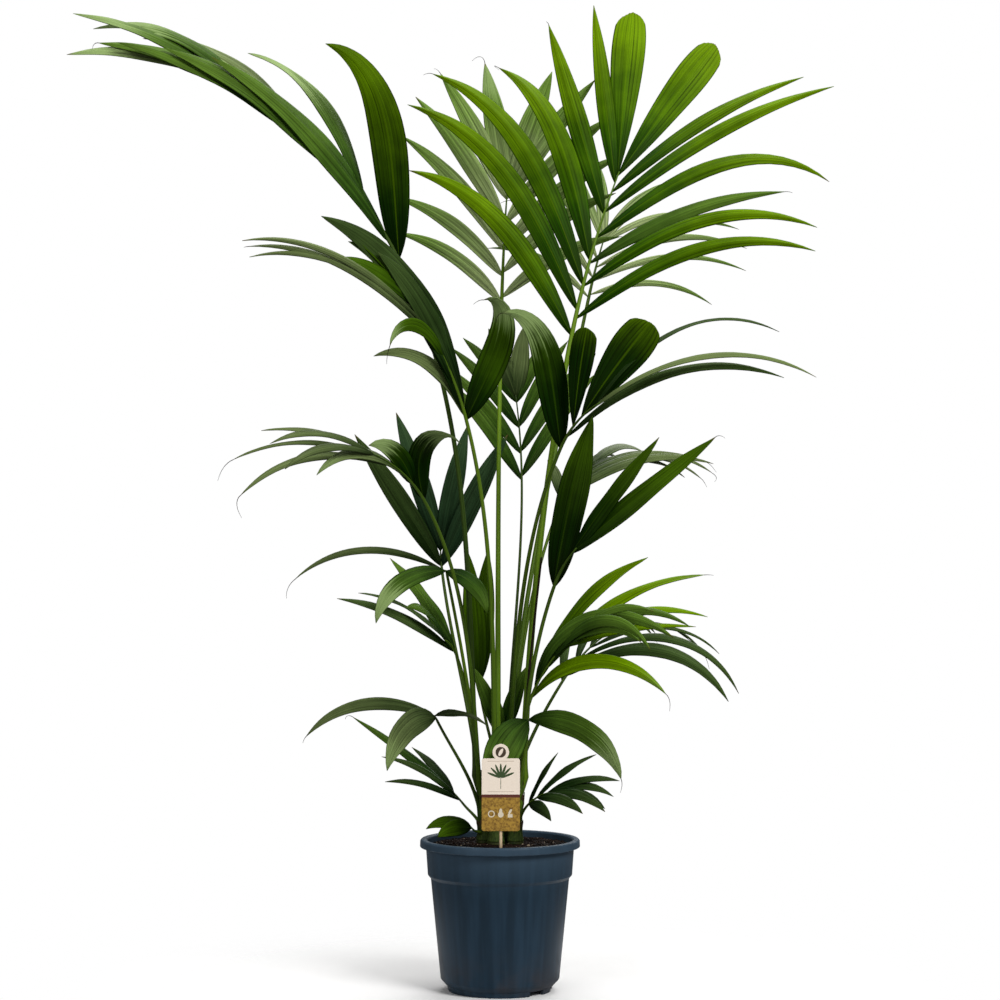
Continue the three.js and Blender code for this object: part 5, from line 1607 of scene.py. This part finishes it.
LOOKS = {
    # by frond: its green if that isn't its tone's, how much light or shade is painted on each of
    # its rows from 0 to 1 (painted light by row), the rows of another green (greens), and the rows
    # with pale tips and how pale (fades)
    "tall_right": dict(ages=(0.42, 0.42, 0.45, 0.7, 0.36, 0.5, 0.42, 0.38), greens={3: "middle"}),
    "tall_back": dict(green="pale", ages=(0.5, 0.55, 0.6, 0.6), fades={2: 0.8}),
    "back_right": dict(green="pale", ages=(0.6, 0.4, 0.5, 0.5)),
    "arch_left": dict(
        ages=(0.42, 0.5, 0.62, 0.6, 0.56, 0.6, 0.6), greens={0: "bold", 3: "greyed", 5: "greyed"},
        fades={2: 1.3, 3: 1.1, 4: 1.3, 5: 1.1, 6: 1.1},
    ),
    "reach_left": dict(
        ages=(0.75, 0.5, 0.62, 0.7, 0.42, 0.45, 0.6, 0.6),
        greens={0: "greyed", 1: "olive", 3: "greyed", 5: "olive"}, fades={2: 0.8, 4: 1.0},
    ),
    "back_low": dict(greens={2: "greyed", 3: "greyed"}),
    "front_right": dict(
        ages=(0.24, 0.03, 0.06, 0.8, 0.95, 0.5),
        greens={1: "bold", 2: "bold", 3: "olive", 4: "greyed", 5: "olive"}, fades={0: 1.0},
    ),
    "fan_right": dict(ages=(0.3, 0.38, 0.44)),
    "side_right": dict(green="greyed"),
    "arch_low_left": dict(
        green="greyed", ages=(0.15, 0.15, 0.7, 0.6, 0.4, 0.5, 0.5, 0.5),
        greens={0: "deep", 1: "deep"}, fades={0: 1.2, 1: 1.3, 2: 0.6},
    ),
    "dark_left": dict(
        green="bluish", ages=(0.4, 0.4, 0.5, 0.4, 0.4), greens={0: "olive", 2: "greyed"}
    ),
    "hanging_left": dict(ages=(0.5, 0.34), fades={0: 1.4}),
    "low_left": dict(ages=(0.8, 0.7, 0.48, 0.45), greens={0: "olive", 1: "olive"}),
    "upright_pair": dict(ages=(0.8, 0.7)),
    "low_right_front": dict(
        ages=(0.62, 0.48, 0.6, 1.0, 0.82, 0.6, 0.85, 0.85, 0.6, 0.6),
        greens=dict.fromkeys((0, 2, 5, 8, 9), "middle"), fades={3: 0.4, 4: 0.4},
    ),
    "low_right_back": dict(green="olive", ages=(0.75, 0.7, 0.7, 0.55, 0.5, 0.5)),
    "bifid_right": dict(ages=(0.7, 0.46), fades={0: 1.1}),
    "bifid_left": dict(green="greyed", ages=(0.6, 0.5, 0.3), fades={0: 0.8}),
    "sprout_left": dict(green="olive", ages=(0.2, 0.35, 0.4, 0.2), greens={0: "middle"}),
    "sprout_right": dict(green="olive", ages=(0.25, 0.35, 0.3, 0.3)),
    "inner": dict(ages=(0.3, 0.2, 0.4)),
}
print("leaf finishes", len(LEAF_FINISHES))

# %% Blades
BLADE_THICKNESS = 0.5
PLEAT = 0.42  # half the height of a pleat
PLEAT_BREADTH = 4.6  # from crest to crest
RIB_BREADTH = 9.0  # of a half blade, to each vein that stands out
ROW_STEP = 9.0  # from one cross line of the grid to the next
POINT_HALF = 0.18  # half the breadth of a blade's very point


def lay_blade(bm, leaflet, age, fade):
    """Lays one blade along its line, pleated, folded and a little wavy."""
    line = leaflet_line(leaflet)
    seed, key = leaflet["key"]
    reach, width, blunt = leaflet["reach"], leaflet["width"], leaflet["blunt"]
    columns = 2 * max(3, round(width / PLEAT_BREADTH))
    rows = max(10, round(reach / ROW_STEP))
    shift = 6 * wobble(seed, key + 500)
    waves = 1.5 + abs(wobble(seed, key + 501))
    slant = 0.014 * (1 if wobble(seed, key + 503) > 0 else -1)

    def place(turn, evenly):
        out = 2 * turn - 1
        along = evenly
        if blunt:  # cut off aslant, with a torn edge
            torn = 0.003 * wobble(seed, key + round(turn * columns))
            end = 0.985 + slant * out + torn - 0.07 * (1 - math.sqrt(1 - out * out))
            along = (1 - (1 - evenly) ** 1.6) * end
        step = min(LINE_STEPS - 1, int(along * LINE_STEPS))
        share = along * LINE_STEPS - step
        at, across, face = [a.lerp(b, share) for a, b in zip(line[step], line[step + 1])]
        half = max(POINT_HALF, width / 2 * blade_width(along, blunt))
        rise = min(half, reach / 100)
        crest = 1 if round(turn * columns) % 2 else -1
        pleat = PLEAT * min(1, half / 6) * crest * min(1, (1 - abs(out)) * 6)
        swing = math.sin(2 * math.pi * waves * along + shift)
        wave = 0.09 * half * out * swing * min(1, 4 * (1 - along))
        height = rise * (0.5 - abs(out)) + pleat + wave
        return at + across.normalized() * (out * half) + face.normalized() * height

    tint = 0.5 + 0.5 * wobble(seed, key + 502)
    ribs = 1 + round(width / 2 / RIB_BREADTH)
    return lay_grid(bm, columns, rows, place, tint=tint, age=age, ribs=ribs, fade=fade)


print("a pleat is", 2 * PLEAT, "high and", PLEAT_BREADTH, "broad")


# %% The fronds put together
def frond_mesh(name, frond, rib, seed):
    """The mesh of a frond, and the names of the greens that its leaflets have."""
    bm = new_mesh()
    look = LOOKS.get(name, {})
    usual, ages = look.get("green", frond["tone"]), look.get("ages")
    odd, fades = look.get("greens", {}), look.get("fades", {})
    greens = [usual]
    for leaflet in leaflets(frond, rib, seed):
        row = leaflet["rank"]
        green = odd.get(row, usual)
        if green not in greens:
            greens.append(green)
        laid = lay_blade(bm, leaflet, ages[row] if ages else MIDDLING, fades.get(row, 0))
        for face in {face for vert in laid for face in vert.link_faces}:
            face.material_index = greens.index(green)
    return bm, greens


faces = 0
for rank, (name, frond) in enumerate(FRONDS.items()):
    mesh, greens = frond_mesh(name, frond, SPINES[name][1], rank + 1)
    finishes = [LEAF_FINISHES[green] for green in (*greens, "under")]
    piece = finish_piece(
        f"leaflets_{name}", mesh, finishes, [f"frond_{name}"],
        BLADE_THICKNESS,
    )
    faces += len(piece.data.polygons)
print("leaflet faces", faces)

# %% [markdown]
# ## Threads
# A young palm leaf is folded in its bud with its tips tied together. When it opens, a dry brown
# thread stays on many a leaflet's tip.

# %% Threads at the tips
THREAD_SHARE = 0.36  # share of the leaflets that may have one
THREAD_REACH = 120  # a shorter leaflet has none
THREAD_LENGTHS = (8, 36)  # the shortest and the longest
THREAD_GIRTH = 0.5
THREAD_STEPS, THREAD_SIDES = 9, 4
THREAD_MARGIN = 3  # how far a thread stays inside the reach of the solids


def thread_points(leaflet, draw):
    """A line that goes on from a leaflet's tip and curls down."""
    line = leaflet_line(leaflet)
    point = line[-1][0]
    ahead = (point - line[-3][0]).normalized()
    step = draw.uniform(*THREAD_LENGTHS) / THREAD_STEPS
    curl = Vector((draw.uniform(-0.2, 0.2), draw.uniform(-0.2, 0.2), draw.uniform(-0.3, 0.0)))
    points = [point - ahead]
    for _ in range(THREAD_STEPS):
        points.append(points[-1] + ahead * step)
        ahead = (ahead + curl).normalized()
    return points


def is_inside(point):
    """Tells whether a point is well within the reach of the solids."""
    return all(
        low / MM + THREAD_MARGIN < at < high / MM - THREAD_MARGIN
        for low, at, high in zip(solids_box[0], point, solids_box[1])
    )


def thread_radius(along, angle):
    return THREAD_GIRTH * (1 - 0.6 * along)


threads = new_mesh()
thread_draw = random.Random(11)
thread_count = 0
for rank, (name, frond) in enumerate(FRONDS.items()):
    for leaflet in leaflets(frond, SPINES[name][1], rank + 1):
        drawn = thread_draw.random() < THREAD_SHARE
        tied = drawn and not leaflet["blunt"] and leaflet["reach"] > THREAD_REACH
        points = thread_points(leaflet, thread_draw)
        if tied and all(map(is_inside, points)):
            lay_limb(threads, points, thread_radius, THREAD_SIDES)
            thread_count += 1
finish_piece("tip_threads", threads, [dry_material])
print("threads", thread_count)

# %% [markdown]
# ## The size of it all
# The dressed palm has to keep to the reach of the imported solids, so both boxes are written down.

# %% Sizes
model_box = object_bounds()
for label_text, box in (("solids", solids_box), ("model", model_box)):
    print(label_text, [round(v, 4) for corner in box for v in corner])
